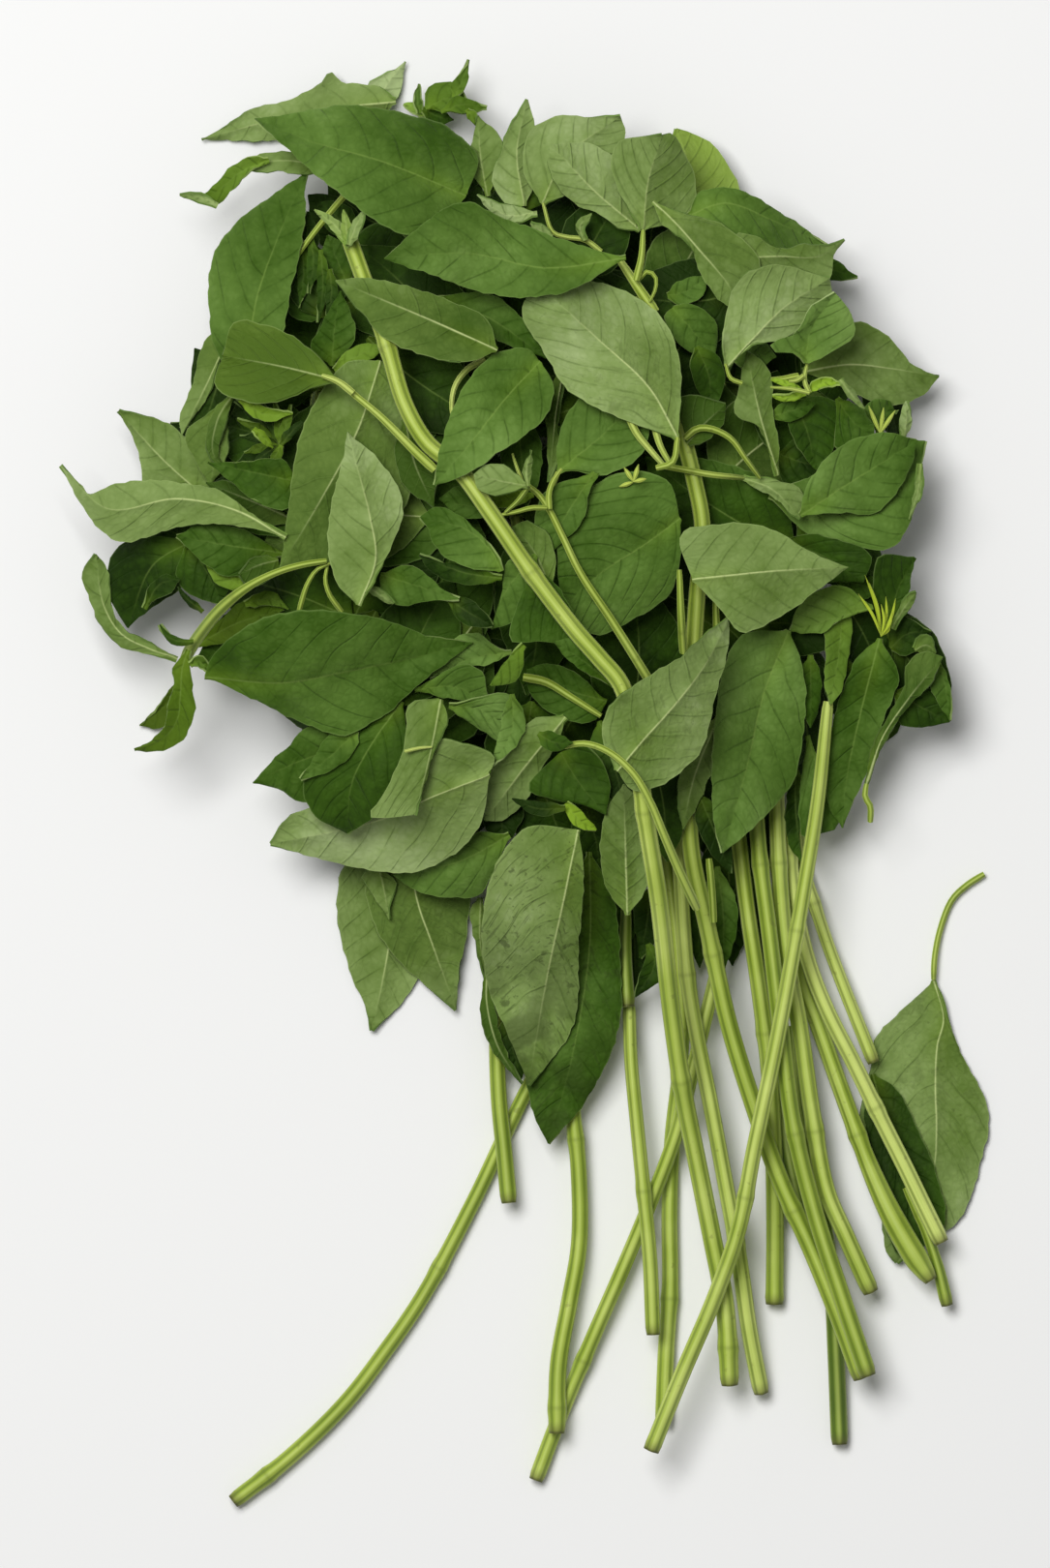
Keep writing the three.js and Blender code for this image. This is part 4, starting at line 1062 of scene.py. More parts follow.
# %% Low leaves of the lower edge
stalk(1.45, 0.15, 20.8, -46, 20.4, -36, 20.7, -24)
upper("slim_by_r", 0.3, [55.5, 5, 55.6, -6, 57, -17], [53.5, -3, 54, -12], [57.3, -2, 56.5, -10])
upper("olive_by_g", 0.55, [58, 10, 61, 0, 63.5, -9.5], [56.5, 0, 57, -11, 60.5, -10.3], [63, 0, 65.5, -6])
strip("green_by_g", UPPER, 0.3, 4.8, [58.5, 26.6, 58.6, 19, 58.6, 11.6])
upper("by_elliptic", 0.12, [25.5, -21.5, 25, -28, 23.5, -36], [22.5, -24, 22.5, -30], [26.8, -28, 26.8, -33])
strip("tail_of_elliptic", UPPER, 0.25, 4.5, [25, -33, 26.5, -37, 22.5, -44])
upper("olive", 0.55, [-36, 8, -46, 5, -56.4, 0.2], [-38, 13, -44, 12.6, -50, 7],
      [-39, -1, -46, -3.8, -51, -1.3])
lower("hang_left", 0.5, [-27, -16, -28, -30, -29.8, -41, -32, -51],
      [-37.6, -17, -39, -27, -36.8, -38, -33.6, -45.6], [-20, -23, -20.5, -35, -25.5, -44.8])
lower("hang_right", 0.27, [-24, -14, -22.6, -24, -19.5, -33, -14.5, -46.7],
      [-33, -20, -31.4, -29, -26, -37, -20, -42.6], [-12.5, -18, -12, -29, -14, -39], wear=0.3)
lower("tip_over_hang", 0.55, [-30.5, -17, -29.4, -22, -28.4, -28], [-34, -19, -31, -24],
      [-27, -20.5, -28, -24])
upper("under_bruised", 0.31, [13, -14, 13, -34, 9.5, -56, 4.5, -74.3], [7, -24, 4, -44, 0, -61, 1.6, -68.6],
      [17.6, -22, 19.4, -36, 19.2, -50, 15.6, -60, 10.6, -68], wear=0.5)
lower("elliptic", 0.4, [20.8, -27, 20.4, -14, 20, 0], [16.6, -22, 15.3, -14.5, 16, -6],
      [24.2, -22.5, 25.6, -14, 24.4, -5], wear=0.35)
lower("edge_of_bruised", 0.35, [-9.5, -23.5, -9.6, -32, -8.3, -41], [-11.8, -26, -11, -31],
      [-8, -28, -7.6, -34])
strip("fold_of_bruised", UNDER, 0.12, 3, [-8, -38, -8.2, -45, -6, -54, -1, -62])
upper("fresh_behind_pale", 0.62, [-3.5, -10.5, -14, -16, -27.5, -18.8], [-10, -10, -18, -14],
      [-7.5, -20, -10, -23, -17, -23.4, -23, -22])
tell("lower edge")

# %% [markdown]
# The left side has long pointed leaves that curl up at their tips, and a feathery dark tuft between them.

# %% Low leaves of the left side
lower("left_wing", 0.52, [-66, 59, -75, 67, -84.2, 77], [-65, 63, -67.5, 66.7, -71.5, 72.8, -77, 75.5],
      [-72, 59, -79, 61.6, -79.6, 66.5, -81.4, 71.8])
upper("dark_curl", 0.1, [-69, 50, -77, 45, -82.3, 32.2], [-76, 51, -83.5, 49.6, -86.4, 44.5, -85.4, 37],
      [-68, 44, -71.5, 40, -77, 36.4])
lower("striped", 0.5, [-72, 25.8, -78, 28, -83.6, 31, -87.2, 37, -88.8, 47.4],
      [-78, 26.8, -84, 28.4, -86.8, 31.6, -89.8, 37, -91.6, 43.6],
      [-77, 28.8, -82, 31.4, -84.8, 34.6, -85.8, 39, -86.4, 44.6])
lower("deep_left", 0.5, [-60, 95, -65, 84, -71, 72], [-66, 92, -69, 82, -71.5, 75],
      [-63.5, 88, -65.5, 80, -69, 75])
lower("deeper_left", 0.4, [-63, 78, -64, 70, -65, 61], [-70.5, 72, -68, 66], [-62, 76, -61.5, 68])
for x, y, light in (
        (-60, 79, 0), (-59.6, 75, 1), (-59, 71.4, 0), (-58, 68, 1), (-55.6, 79.6, 0), (-52, 79, 1),
        (-56, 66, 0), (-48.6, 78, 1), (-46, 74.6, 0), (-53, 64.4, 1)):
    strip("feather", UPPER, 0.05 + 0.2 * light, 2.2, [-50.4, 69.6, (x - 50) / 2, (y + 70.6) / 2, x, y],
          warm=0.15 * light, wave=0.2)
for x, top, low in ((-46.4, 112, 98), (-44.4, 113, 101), (-42.4, 110, 95), (-40.6, 106, 96)):
    strip("dark_slip", UPPER, 0.3, 2.6, [x, top, x + 0.5, (top + low) / 2, x - 0.4, low], wave=0.2)
strip("grey_ribbon", UNDER, 0.2, 3.4, [-60.5, 80, -63.5, 75, -64.5, 68, -62, 65])
stalk(0.6, 0.62, -49, 106, -46, 110.5, -41.5, 116.4, -36, 123, shape=lambda t: 0.7 + 0.4 * t)
upper("left_shoulder", 0.72, [-57, 82, -56, 98, -51, 113, -45.3, 126],
      [-63.5, 88, -65.4, 97, -65, 108, -60, 115.6, -53, 121], [-51, 90, -48.6, 101, -46, 113])
strip("lime_slip", UPPER, 0.5, 3, [-59, 79, -54, 76, -48, 76], warm=0.4)
strip("lime_shred", UPPER, 0.35, 2, [-56, 73, -54, 71, -52, 69], warm=0.4)
upper("dark_by_curl", 0.2, [-70, 50, -66, 44, -62.5, 37], [-66.5, 48.8, -61, 42], [-72, 42, -67, 38])
upper("grey_lobe", 0.3, [-78.6, 36, -75.6, 41, -71.4, 42.2], [-78, 40, -74.6, 43], [-76, 38, -73, 39.6])
strip("fresh_by_curl", UPPER, 0.45, 5, [-57.5, 40, -62.5, 43.5, -66.8, 49.5], warm=0.25)
upper("low_bright_left", 0.3, [-69, 28, -60, 33, -50, 36], [-62, 35, -57, 38], [-62, 29, -56, 32], warm=0.2)
strip("tiny_left", UPPER, 0.5, 3, [-58, 37, -53, 38.3, -49, 36], warm=0.2)
lower("left_inner_dark", 0.1, [-47, 54, -56, 58, -66, 62], [-55, 59, -61, 62], [-55, 53, -62, 57])
upper("left_inner_low", 0.25, [-50, 47.5, -61, 49, -72, 51], [-60, 53, -67, 53.5], [-60, 42.5, -67, 46])
lower("left_inner_grey", 0.1, [-51, 46, -55, 45, -59, 43], [-54, 47, -57, 46], [-51, 43.5, -57, 40.5])
upper("left_inner_top", 0.4, [-47, 62, -56, 64, -65.5, 66], [-50, 66.6, -58, 66.2],
      [-49, 56.5, -56, 58, -60.5, 61.8])
upper("behind_side_fan", 0.5, [-40, 86, -39.5, 94, -38.3, 101.5], [-44.5, 89.7, -42, 95, -40, 98.5],
      [-35, 92, -36, 96.5])
strip("lime_by_fan", UPPER, 0.7, 4.2, [-39.5, 85, -34, 88.4, -28.9, 89.9], warm=0.25)
tell("left side, low")

# %% [markdown]
# At the top edge the leaves of several shoot tips fan out. A tuft of young leaves stands up between them.

# %% Low leaves of the top edge
lower("top_tip", 1, [-31, 140.4, -28.6, 145, -25, 149.4], [-33, 144.2, -29, 146.8],
      [-26.7, 141.5, -25.6, 145.5])
strip("tuft_left", UPPER, 0.8, 2.4, [-20.6, 138.4, -22.8, 139.6, -25.4, 140.6], warm=0.3)
strip("tuft_up", UPPER, 0.5, 1.5, [-22, 138.6, -22.6, 142, -22.3, 144.7])
strip("tuft_dark", UPPER, 0.2, 3.6, [-21.4, 139.4, -18, 137.8, -15, 137.2])
upper("tuft", 0.42, [-20.8, 139.4, -16, 141.6, -10, 139.6],
      [-20.8, 143.6, -18, 145, -14.6, 144.8, -12.4, 141.4], [-16, 138.6, -12, 138.6], warm=0.12, wave=0.9)
upper("tuft_spike", 0.55, [-15, 141.5, -13.4, 145, -11.8, 149.5], [-15.6, 144.6, -13.4, 146.8],
      [-12.8, 143.2, -11.9, 146], warm=0.1)
upper("tuft_right", 0.42, [-17.6, 138.6, -13, 140.2, -8.2, 139.5], [-15, 142, -11.4, 141.2],
      [-15, 138.6, -11.4, 138.4], warm=0.1)
strip("tuft_low", UPPER, 0.5, 2, [-12.4, 139, -10.8, 137, -9.7, 135.2], warm=0.2)
lower("top_left", 0.67, [-27, 141, -45, 139, -67.2, 133.3],
      [-30.6, 144.2, -34, 144.8, -38, 145.2, -40.6, 147, -42.4, 144.6, -46, 143, -50, 141.3, -56, 139.8,
       -61, 136.8], [-30, 138, -40, 135, -50, 133.2, -60, 133], wave=0.7)
lower("ribbon_inner", 0.45, [-41, 127, -50, 128.4, -58.6, 127.2], [-46, 129.8, -52, 130.4, -56, 129.4],
      [-46, 125.4, -51, 126.2, -55.4, 126.2])
upper("ribbon", 0.65, [-53, 128.4, -59, 126, -63, 122.6, -68, 120], [-56, 129.2, -60.6, 127.4, -63.6, 124.4],
      [-57, 126.2, -60, 123, -63, 119.6], warm=0.2, wave=0.8)
strip("ribbon_tip", UNDER, 0.8, 1.8, [-63.6, 119.2, -66.6, 120.6, -71.5, 121.3])
lower("top_inner", 0.35, [-8, 121, -9.4, 129, -10, 137.7], [-11.5, 127, -11, 134], [-5, 128, -6, 134])
lower("top_spike", 0.7, [-0.5, 119, -2, 130, 0.2, 141], [-5, 120, -7, 125, -5, 131, -3, 136],
      [1.5, 123, 2, 131, 1.5, 137])
lower("top_scrap", 0.85, [2.2, 117.5, -4, 117, -10.2, 121.3], [-2, 119, -6, 119.6], [-1, 115.8, -5, 115.5])
lower("bright_fan", 0.8, [33, 122, 33, 129, 31, 135.3], [30, 127, 29.5, 132],
      [44, 121.3, 42.5, 126.5, 39, 131.7, 35, 134.2], warm=0.55)
lower("top_fan", 0.67, [3.2, 119.4, 8, 129, 19.4, 137.5], [-0.6, 126, 0.4, 133.6, 6, 137.5, 13.6, 137.3],
      [10, 122, 17.6, 128.6, 20.4, 133.6], wear=0.1)
lower("fan_middle", 0.66, [23.5, 114, 14, 122, 5, 131.5], [19, 114.5, 15, 117, 8.5, 120.5, 4.5, 127],
      [24, 121, 19, 128, 12, 132])
lower("fan_right", 0.68, [24, 114, 25, 124, 28, 133.6], [19.5, 121, 17.4, 128, 19.2, 132.4, 24, 133.2],
      [33, 117, 35, 123.5, 32.5, 130, 30, 134], wear=0.15)
upper("under_arch_dark", 0.4, [56, 107, 62, 106.3, 68.4, 104.8], [60, 109.5, 64, 108, 66.5, 106.2],
      [58, 104, 63, 103.8, 66, 104])
tell("top edge")

# %% [markdown]
# The right side is the shaded one. Its lowest leaves are dark and curled, and paler ones lie over them.

# %% Low leaves of the right side
upper("right_low_curl", 0.1, [74.5, 31, 80, 24, 87.3, 13], [78.4, 34.6, 83.4, 31.6, 86.8, 25, 87.8, 18],
      [75.6, 24, 77, 17, 79, 12.4, 83, 11.8])
upper("right_low_dark", 0.08, [75, 28, 78.6, 31, 83.4, 31.3], [74.6, 33, 77.5, 35, 80, 33.6],
      [77.5, 26.4, 81, 28])
upper("right_low_pale", 0.2, [76, 19, 82, 15.5, 87.3, 12.8], [79, 20.5, 84, 19.5], [77, 12.4, 83, 11.8])
upper("grey_right", 0.5, [72.8, 30, 69, 15, 66.2, 2, 65.2, -9.1], [76.8, 22, 73.6, 13, 70, 2, 67.4, -4],
      [68.6, 26.5, 64, 15.5, 61.7, 4, 62.2, -4], wear=0.1)
upper("right_low_tip", 0.45, [84.5, 26.5, 86.4, 20, 87.2, 13.2], [82.9, 22, 84.4, 17.6], [87, 22, 87.5, 17])
lower("right_low_top", 0.25, [80, 27.6, 82.5, 28.6, 84.4, 27], [80.4, 30, 83, 31], [82, 26.8])
upper("dark_upright", 0.35, [75, 33, 76.5, 40, 80.2, 46.6], [71.5, 40, 73, 47], [79, 40, 79.3, 43])
lower("dark_upright_edge", 0.4, [75.3, 32, 78, 36.5, 80.3, 39.5], [76.5, 36, 78.5, 39], [78, 35, 80, 37.5])
lower("right_shoulder_tip", 0.43, [57, 85, 67, 86.5, 76, 85.6, 85.2, 84.1],
      [62.5, 91, 68.4, 95.4, 74.4, 92.6, 79.6, 86.8], [63.5, 82.6, 70.5, 79.4, 77, 78.2, 82, 80.4])
upper("olive_rim", 0.65, [72.7, 71.8, 74, 75.6, 75, 79], [69.5, 77.5, 72, 79.5], [77, 77.5, 76.6, 76])
strip("pale_rim", UNDER, 0.7, 2.6, [77.8, 71.5, 78.3, 75, 78.3, 79])
upper("right_cup", 0.65, [50, 59.5, 62, 56, 75, 59, 82.2, 70.8], [55, 62, 66, 66, 76, 71],
      [57, 52.2, 66, 49.2, 75.6, 48.6, 79.6, 56])
lower("cup_rim", 0.5, [44.5, 63, 50.6, 60.6, 56.4, 54.7], [50, 62.8, 56.5, 61, 57.1, 58],
      [46.5, 61, 51, 59, 54, 56], stalk=[27, 65.6, 33, 64.5, 38, 63.6])
strip("green_under_shoulder", UPPER, 0.6, 7, [42, 88, 47, 88.6, 51.5, 88])
upper("under_shoulder_fold", 0.7, [29, 100.5, 33, 101.5, 37.6, 104.8], [30.5, 103, 34, 104.6],
      [31, 98.5, 36, 100])
upper("under_shoulder_left", 0.62, [30, 98, 34, 93.5, 38.8, 87.4], [28.2, 96, 31, 91, 34.5, 88.6],
      [33, 99, 38.5, 96, 39.6, 92])
strip("under_shoulder_low", UPPER, 0.4, 7, [35, 90, 37.5, 84, 38, 77])
lower("under_bruise_dark", 0.08, [33, 70, 37, 74.5, 41, 78], [31.5, 79.5, 36, 79.7], [36, 70, 40.5, 74])
upper("mid_right", 0.4, [55.5, 79, 58, 72, 59.6, 64.7], [53.5, 75, 55.5, 70, 58, 66.5],
      [61, 80, 64.6, 78, 63.8, 71, 62.5, 67.5])
upper("mid_far_right", 0.35, [64, 79.5, 67, 75, 71.5, 71.5], [69, 77.5, 71.5, 74],
      [63.5, 73, 64, 68.5, 67, 70.5])
strip("mid_right_green", UPPER, 0.5, 4.6, [50.5, 75.6, 55, 77, 59.5, 78.4])
lower("upright_right", 0.4, [51.8, 63.5, 48, 76, 45.3, 89], [50, 68, 47.5, 73.5, 42.8, 76.2, 43.8, 82],
      [52, 70, 50.8, 77, 50, 85, 47.5, 88])
upper("behind_veined", 0.3, [52, 50, 61, 47, 69.4, 41.5], [58, 51.5, 66, 49.8, 71, 47], [54, 46, 60, 42])
tell("right side, low")

# %% [markdown]
# Between the leaves on top there are pockets, and the leaves at their bottom are seen in part. They are laid
# whole all the same, because what covers them decides how much of them shows.

# %% Leaves seen deep between the others
upper("centre_big", 0.65, [31.6, 54.6, 24, 49, 15.5, 43.5, 7, 36], [29, 62.3, 20, 64.2, 12, 60, 6.6, 50],
      [31.6, 46.5, 29.6, 39, 23, 34.4, 14, 30.6], wear=0.12)
lower("left_centre", 0.45, [-30, 87, -35, 72, -43, 57, -50.7, 44.2], [-37, 86.6, -44, 77.5, -47, 70, -49, 56],
      [-24, 77, -22.6, 66, -26, 55, -36, 47])
upper("pair_left", 0.4, [-3, 57.6, -11, 57, -18, 58.6], [-7, 61.4, -14.6, 61], [-8, 54.6, -14, 55])
strip("pair_fold", UPPER, 0.45, 3.6, [1.5, 59.4, -4, 58.4, -10, 57.4], warm=0.3)
lower("mottled_left", 0.1, [-25, 75, -23, 66, -19, 57], [-27, 69, -25, 61], [-21, 71, -18.6, 64])
upper("under_crown", 0.42, [-20, 100, -8, 96, 4, 87.5], [-8, 101, 0, 95], [-12, 96, -7, 92, -2, 89.5])
lower("dark_middle", 0.12, [8, 88, 6, 76, 4.7, 62], [0, 72, 3, 80], [6.5, 68, 11, 77])
upper("round_middle", 0.62, [6.5, 64, 10, 67, 16, 72, 23, 80], [6.2, 69.5, 9, 77, 14, 81],
      [10, 64.2, 15, 63.3, 20, 65, 24, 68, 25, 74], stalk=[5, 55, 4.8, 57, 5.3, 61])
upper("split_middle", 0.5, [14, 64, 8, 55, 3, 46], [4, 60, 1.6, 52], [15, 64, 13, 60, 12.5, 56, 10, 52])
lower("grey_middle", 0.35, [5, 40, 2, 47, -2.5, 53], [0, 46, -2, 50], [6, 46, 4.6, 51, 0, 54])
upper("low_middle_left", 0.36, [2, 47, -4, 40, -7.3, 31.8], [-3.5, 46, -5.2, 39], [3, 38, -2, 33.5])
upper("low_middle_right", 0.4, [1.5, 45, 4, 37, 9, 29], [-3, 33, -3.4, 29.4, 3, 29.2], [7, 40, 10, 33])
strip("dark_pocket_leaf", UPPER, 0.12, 5, [-16, 38, -11.5, 35, -7, 32.5])
upper("pocket_dark", 0.2, [-5, 42.2, -13, 43.4, -22, 47], [-12, 45, -17, 45.5], [-8, 41, -13, 41, -19, 43])
upper("pocket_top", 0.55, [-5.2, 43.6, -7, 47.5, -12, 52, -21.8, 54.8],
      [-7, 48, -10, 52, -14, 55.3, -18.5, 57], [-8, 43.7, -12, 44.3, -16, 46, -19, 49, -20, 52])
upper("pocket_bright", 0.66, [-30, 43, -22, 40.5, -13.8, 38], [-25, 45, -21, 43.3, -17, 40],
      [-30, 40.5, -27.5, 36.8, -20, 37.5])
strip("pocket_tip", UNDER, 0.6, 2, [-33, 41, -30, 38.8, -27.3, 37])
upper("gap_dark", 0.15, [16.5, 17, 8, 19.5, 0, 23.5], [10, 23, 4, 25], [14, 13, 7, 13.5, 1, 18])
upper("gap_upper", 0.22, [18, 20, 12, 25, 5.5, 29.3], [14, 27, 9, 30], [15, 21.5, 10, 24, 7, 27])
stalk(0.8, 0.6, -0.7, 22, 4, 21, 9, 18, 15.3, 14)
upper("gap_fresh", 0.66, [-3, 27, -11, 26, -20, 22], [-6, 28, -10, 31, -15, 30], [-8, 24.5, -13, 24])
upper("gap_bright", 0.72, [-23, 19.3, -15, 20, -7.2, 16.3], [-19, 22, -13, 24.8, -9, 23, -8.4, 20],
      [-18, 18, -12, 17.2])
upper("gap_lime", 0.5, [-0.5, 28.5, -4, 25, -7.4, 20.2], [-3, 26.5, -5.5, 23], [-0.8, 23, -3, 20.5],
      warm=0.15)
lower("wrinkled", 0.6, [8, 13.8, 0, 4, -8.5, -7.5], [1.5, 13.4, -2.8, 8, -8.6, -0.5],
      [7, 10, 3, 2.4, -0.4, -3.6, -5.6, -7.6], wave=0.9)
upper("grey_gap_left", 0.6, [-16, 16, -10, 15.4, -4, 12], [-8, 18.2, -3, 18.5, -2, 15],
      [-14, 14, -10, 11.5, -5.5, 9])
strip("grey_gap_right", UPPER, 0.6, 5, [-3, 18.5, -3, 11, -7, 4])
upper("ruffled", 0.36, [7, 6.5, 11, 0, 16.3, -6.3], [2, 2, 0, -1, 5, -3.3, 11, -4.3],
      [12, 8, 15.5, 5, 17.3, 0], wave=0.9)
strip("lime_under_ruffle", UPPER, 0.5, 3.4, [8, -4, 11, -7.5, 14.4, -9.4], warm=0.6)
strip("dark_under_ruffle", UPPER, 0.1, 3, [8, -5, 2, -5, -3, -3])
tell("leaves in the pockets")

# %% [markdown]
# ## Over the low leaves
#
# Two long stems run right over the low leaves, and the last leaves lie across those stems.

# %% The long stems and side shoots
stem("h", 1.75, 0.7, [42, -124.2, 41, -108, 38.2, -93, 35.2, -78, 32.2, -63, 29.6, -45, 27.2, -24, 24.6, -8,
                      22.6, 6, 19.6, 20, 15, 25.8, 10, 31.5, 0.8, 43.6, -7.4, 55.6, -14, 64.6, -20.4, 70,
                      -25, 78, -28.6, 90, -33, 102.5, -36.8, 113])
stem("g", 1.5, 0.8, [25.7, -137.6, 32, -122, 39, -105.5, 43.8, -91.5, 47, -75, 51, -56, 54.4, -38,
                     57.4, -20.5, 60, -4, 62.2, 17], shape=lambda t: 1.04 - 0.1 * t - 0.24 * t ** 10)
stem("side_left", 0.9, 0.7, [-18.8, 64.4, -22.4, 67.8, -30, 75.4, -34.6, 79.3, -38, 82.1],
     shape=lambda t: 1.05 - 0.45 * t)

# %% The forked side shoot in the middle
stalks((0.85, 0.62, 27.4, 17.6, 24.4, 22.6, 17.6, 33.4, 11, 43.4, 7.4, 50.8, 4.7, 56.2, 2.6, 59.3, 0.2, 61.3),
       (0.6, 0.66, 4.7, 56.4, 4.6, 59.6, 5.6, 62.4, 7.2, 64.6),
       (0.5, 0.6, 4, 56.6, 1, 56.6, -2, 55.8, -5, 55.2), (0.5, 0.3, 0.4, 61, -1.8, 58, -4.4, 55.6),
       (0.35, 0.8, -0.8, 61.8, -2, 65, -2.9, 67.8))
lower("pair_right", 0.45, [0.4, 61, -5, 62, -10.8, 63.4], [-2.2, 63.6, -5, 65.5, -8.4, 65.3],
      [-3.5, 59.8, -7.5, 59.2, -10, 60.4])
lower("slim_up", 0.6, [0.3, 61, 0, 64.5, 1.1, 68.4], [-1, 64.4], [1.1, 64.6])

# %% Beside the long stems
stalks((0.8, 0.5, 32.3, 27, 31.8, 34, 31.4, 44), (0.7, 0.5, 39.3, 30, 39, 36, 39, 43))
stalk(0.7, 0.45, 38.6, -28.5, 38.2, -22, 37.6, -15.4, shape=np.ones_like)
strip("over_m", UPPER, 0.14, 6, [35.4, -2, 38.6, -9.5, 42, -18.4])
upper("over_stem_g", 0.7, [65, 36, 64.4, 27, 62.6, 16.4], [61.8, 34, 61.7, 27, 61.6, 20.5],
      [67, 34.6, 66.4, 26, 64.6, 18.6], wave=0.1, warm=0.15)
upper("under_veined", 0.72, [71.4, 36.4, 63, 34, 54.3, 31.5], [68.6, 38.6, 65.3, 40.8, 59.8, 39.7, 56, 36.4],
      [67, 34.5, 64.2, 33.4, 61.5, 31.4, 57, 31], warm=0.12)

# %% Shoot tips, tendrils and buds
for tone, warm, rib in (
        (0.8, 0.2, [-36.2, 110.4, -39, 114.4, -43.6, 118]),
        (0.8, 0.3, [-36.6, 110.8, -37, 114.5, -37.6, 118]),
        (0.9, 0.0, [-36.4, 110.6, -35, 114.4, -33.2, 118])):
    strip("calyx", UNDER, tone, 2.4, rib, warm=warm)
stalks((1.05, 0.7, 26.4, 97, 23, 102, 20.6, 105.6, 19, 108),
       (0.42, 0.65, 22.8, 103.4, 25, 105.4, 26.6, 104, 26.4, 101.4, 25.2, 99),
       (0.7, 0.62, 22.5, 103.5, 23.6, 108, 24, 113.8),
       (0.5, 0.75, 15.4, 109.6, 12, 112, 8, 112.6, 5.4, 113.6, 3.4, 119.6))
strip("bract_by_hip", UNDER, 0.75, 2.6, [5.4, 112.6, 3, 113.6, 0.8, 115.4])
strip("curl_by_hip", UNDER, 0.7, 2, [12, 111.8, 11, 114.6, 13.4, 117.4])
stalks((0.65, 0.5, 32.5, 71, 35, 73, 38, 73, 42, 71, 45, 67, 48, 63),
       (0.7, 0.6, 56, 84, 53, 83.4, 50.3, 83.3), (0.5, 0.6, -38, 35.4, -40.5, 39, -41.3, 42, -40.8, 45),
       (0.5, 0.6, -46.7, 35.4, -46.3, 37, -45, 41, -43, 44, -40.3, 45.3))
for x, y in (
        (69.7, 43), (70.6, 41.4), (74, 38.6), (76, 38.2), (68.3, 39.2), (73, 37), (74.8, 33), (75.3, 35.5)):
    bud(73, 30.4, (73 + x) / 2 + 0.6, (30.4 + y) / 2, x, y, radius=0.28, tone=1.3)
for tip in ((70.5, 78), (73.6, 77.6), (76, 77)):
    bud(72.9, 72.2, *tip, radius=0.4, tone=1.1)
strip("bud_leaf_left", UPPER, 0.8, 1.8, [57.4, 80.6, 54, 82.2, 50.3, 83.2], warm=0.7)
strip("bud_leaf_low", UPPER, 0.7, 1.7, [57.4, 80.4, 54, 79.4, 50.6, 79.8], warm=0.7)
strip("bud_leaf_right", UPPER, 0.8, 2.1, [58, 80.6, 61, 82.6, 64.6, 82.4], warm=0.7)
strip("bud_curl", UNDER, 0.6, 2, [64.5, 83.2, 66.4, 80.6, 69.6, 77.2])
stalks((0.5, 0.8, 58.2, 80.4, 57.2, 83, 57.7, 86.4), (0.5, 0.8, 57, 84, 55.6, 83, 54, 82.8),
       (0.4, 0.8, 58.2, 80.4, 54.6, 81.2, 50.2, 81.6))
for tip in ((19, 61), (20, 65), (23, 65.6), (24.6, 62.6)):
    bud(22, 62, *tip, radius=0.45, tone=1.1)
tell("stems, shoot tips and buds")

# %% [markdown]
# ## The leaves on top
#
# These are the leaves that are seen whole. Each one lies over its neighbours in turn, up to the broad
# leaves that crown the head.

# %% Top leaves of the right side
strip("beside_right_big", UNDER, 0.5, 6.5, [39.5, 14, 34.5, 1.5, 32.2, -9.3])
upper("right_big", 0.73, [54, 31.6, 49, 19, 45, 2, 40.4, -14.2], [57, 24, 57.2, 11, 54.6, 0, 47.4, -8.6],
      [44.4, 30.6, 40.2, 22, 38.2, 5, 38.4, -8], wear=0.08)
lower("saddle", 0.7, [18.6, 2.6, 23.4, 8.4, 31, 17, 37, 25, 41.6, 34.2],
      [15.4, 10, 17.4, 16.4, 24, 21.5, 32, 26.6, 36.6, 30.6],
      [22, -1.4, 29.6, 0.8, 36, 7.4, 38.8, 18, 41.4, 27.6], wear=0.3)
stalk(0.85, 0.66, 35, -25.5, 31, -17, 28, -10, 25.5, -4, 22, 2, 17, 6.5, 12, 8.3, 7, 7.6)
strip("over_bow", UPPER, 0.35, 4, [2.4, 10.4, 5.4, 8.6, 9.6, 8.4], bend=0.12)
upper("arch", 0.68, [33.4, 117, 41, 119.6, 51, 116, 62, 111], [35.6, 121.8, 42, 123, 50.2, 119.2, 57, 114.8],
      [38, 114, 46, 111.4, 55, 109.4])
lower("on_arch", 0.58, [42, 108, 52, 108.6, 60, 108.6, 65.6, 112],
      [43.1, 113.2, 47, 112.8, 52, 110.3, 57.5, 111, 61.5, 110.9],
      [48, 103.5, 56, 102, 62.5, 104, 63.3, 108.6], wear=0.1)
lower("over_arch", 0.55, [26, 119.8, 30, 116, 35, 110.4, 41.9, 102, 44, 97],
      [33, 117, 39.4, 115.8, 43.1, 113.2, 48.2, 107, 47, 101], [28, 115, 32.9, 111.5, 36, 104.6, 39.5, 99.5])
lower("right_shoulder", 0.69, [41, 85.6, 46.4, 91.4, 53, 98, 62.4, 104],
      [40.2, 90.5, 41, 97, 44, 104, 51, 106.8], [46.8, 90.6, 51, 91, 57, 93, 61.6, 95.6, 63, 100], wear=0.12)
stalk(0.45, 0.65, 44.3, 82.4, 42, 83.4, 40.9, 86.4)
upper("bright_shoulder", 0.75, [57.7, 86.5, 58.2, 92.5, 63.5, 101],
      [54.7, 88.6, 51, 88.8, 50.3, 90.6, 55.6, 93, 59, 98.4],
      [60.7, 87.6, 63.5, 89.3, 67, 91.6, 67.5, 95.3, 65.4, 99])
upper("right_dewy", 0.67, [56.4, 55.2, 65, 61, 73, 66, 80.5, 70.8],
      [57.2, 60.4, 62.2, 67.6, 68, 71.2, 74.4, 72.4], [65, 55.8, 71.6, 55.6, 76.2, 60, 79.4, 66])
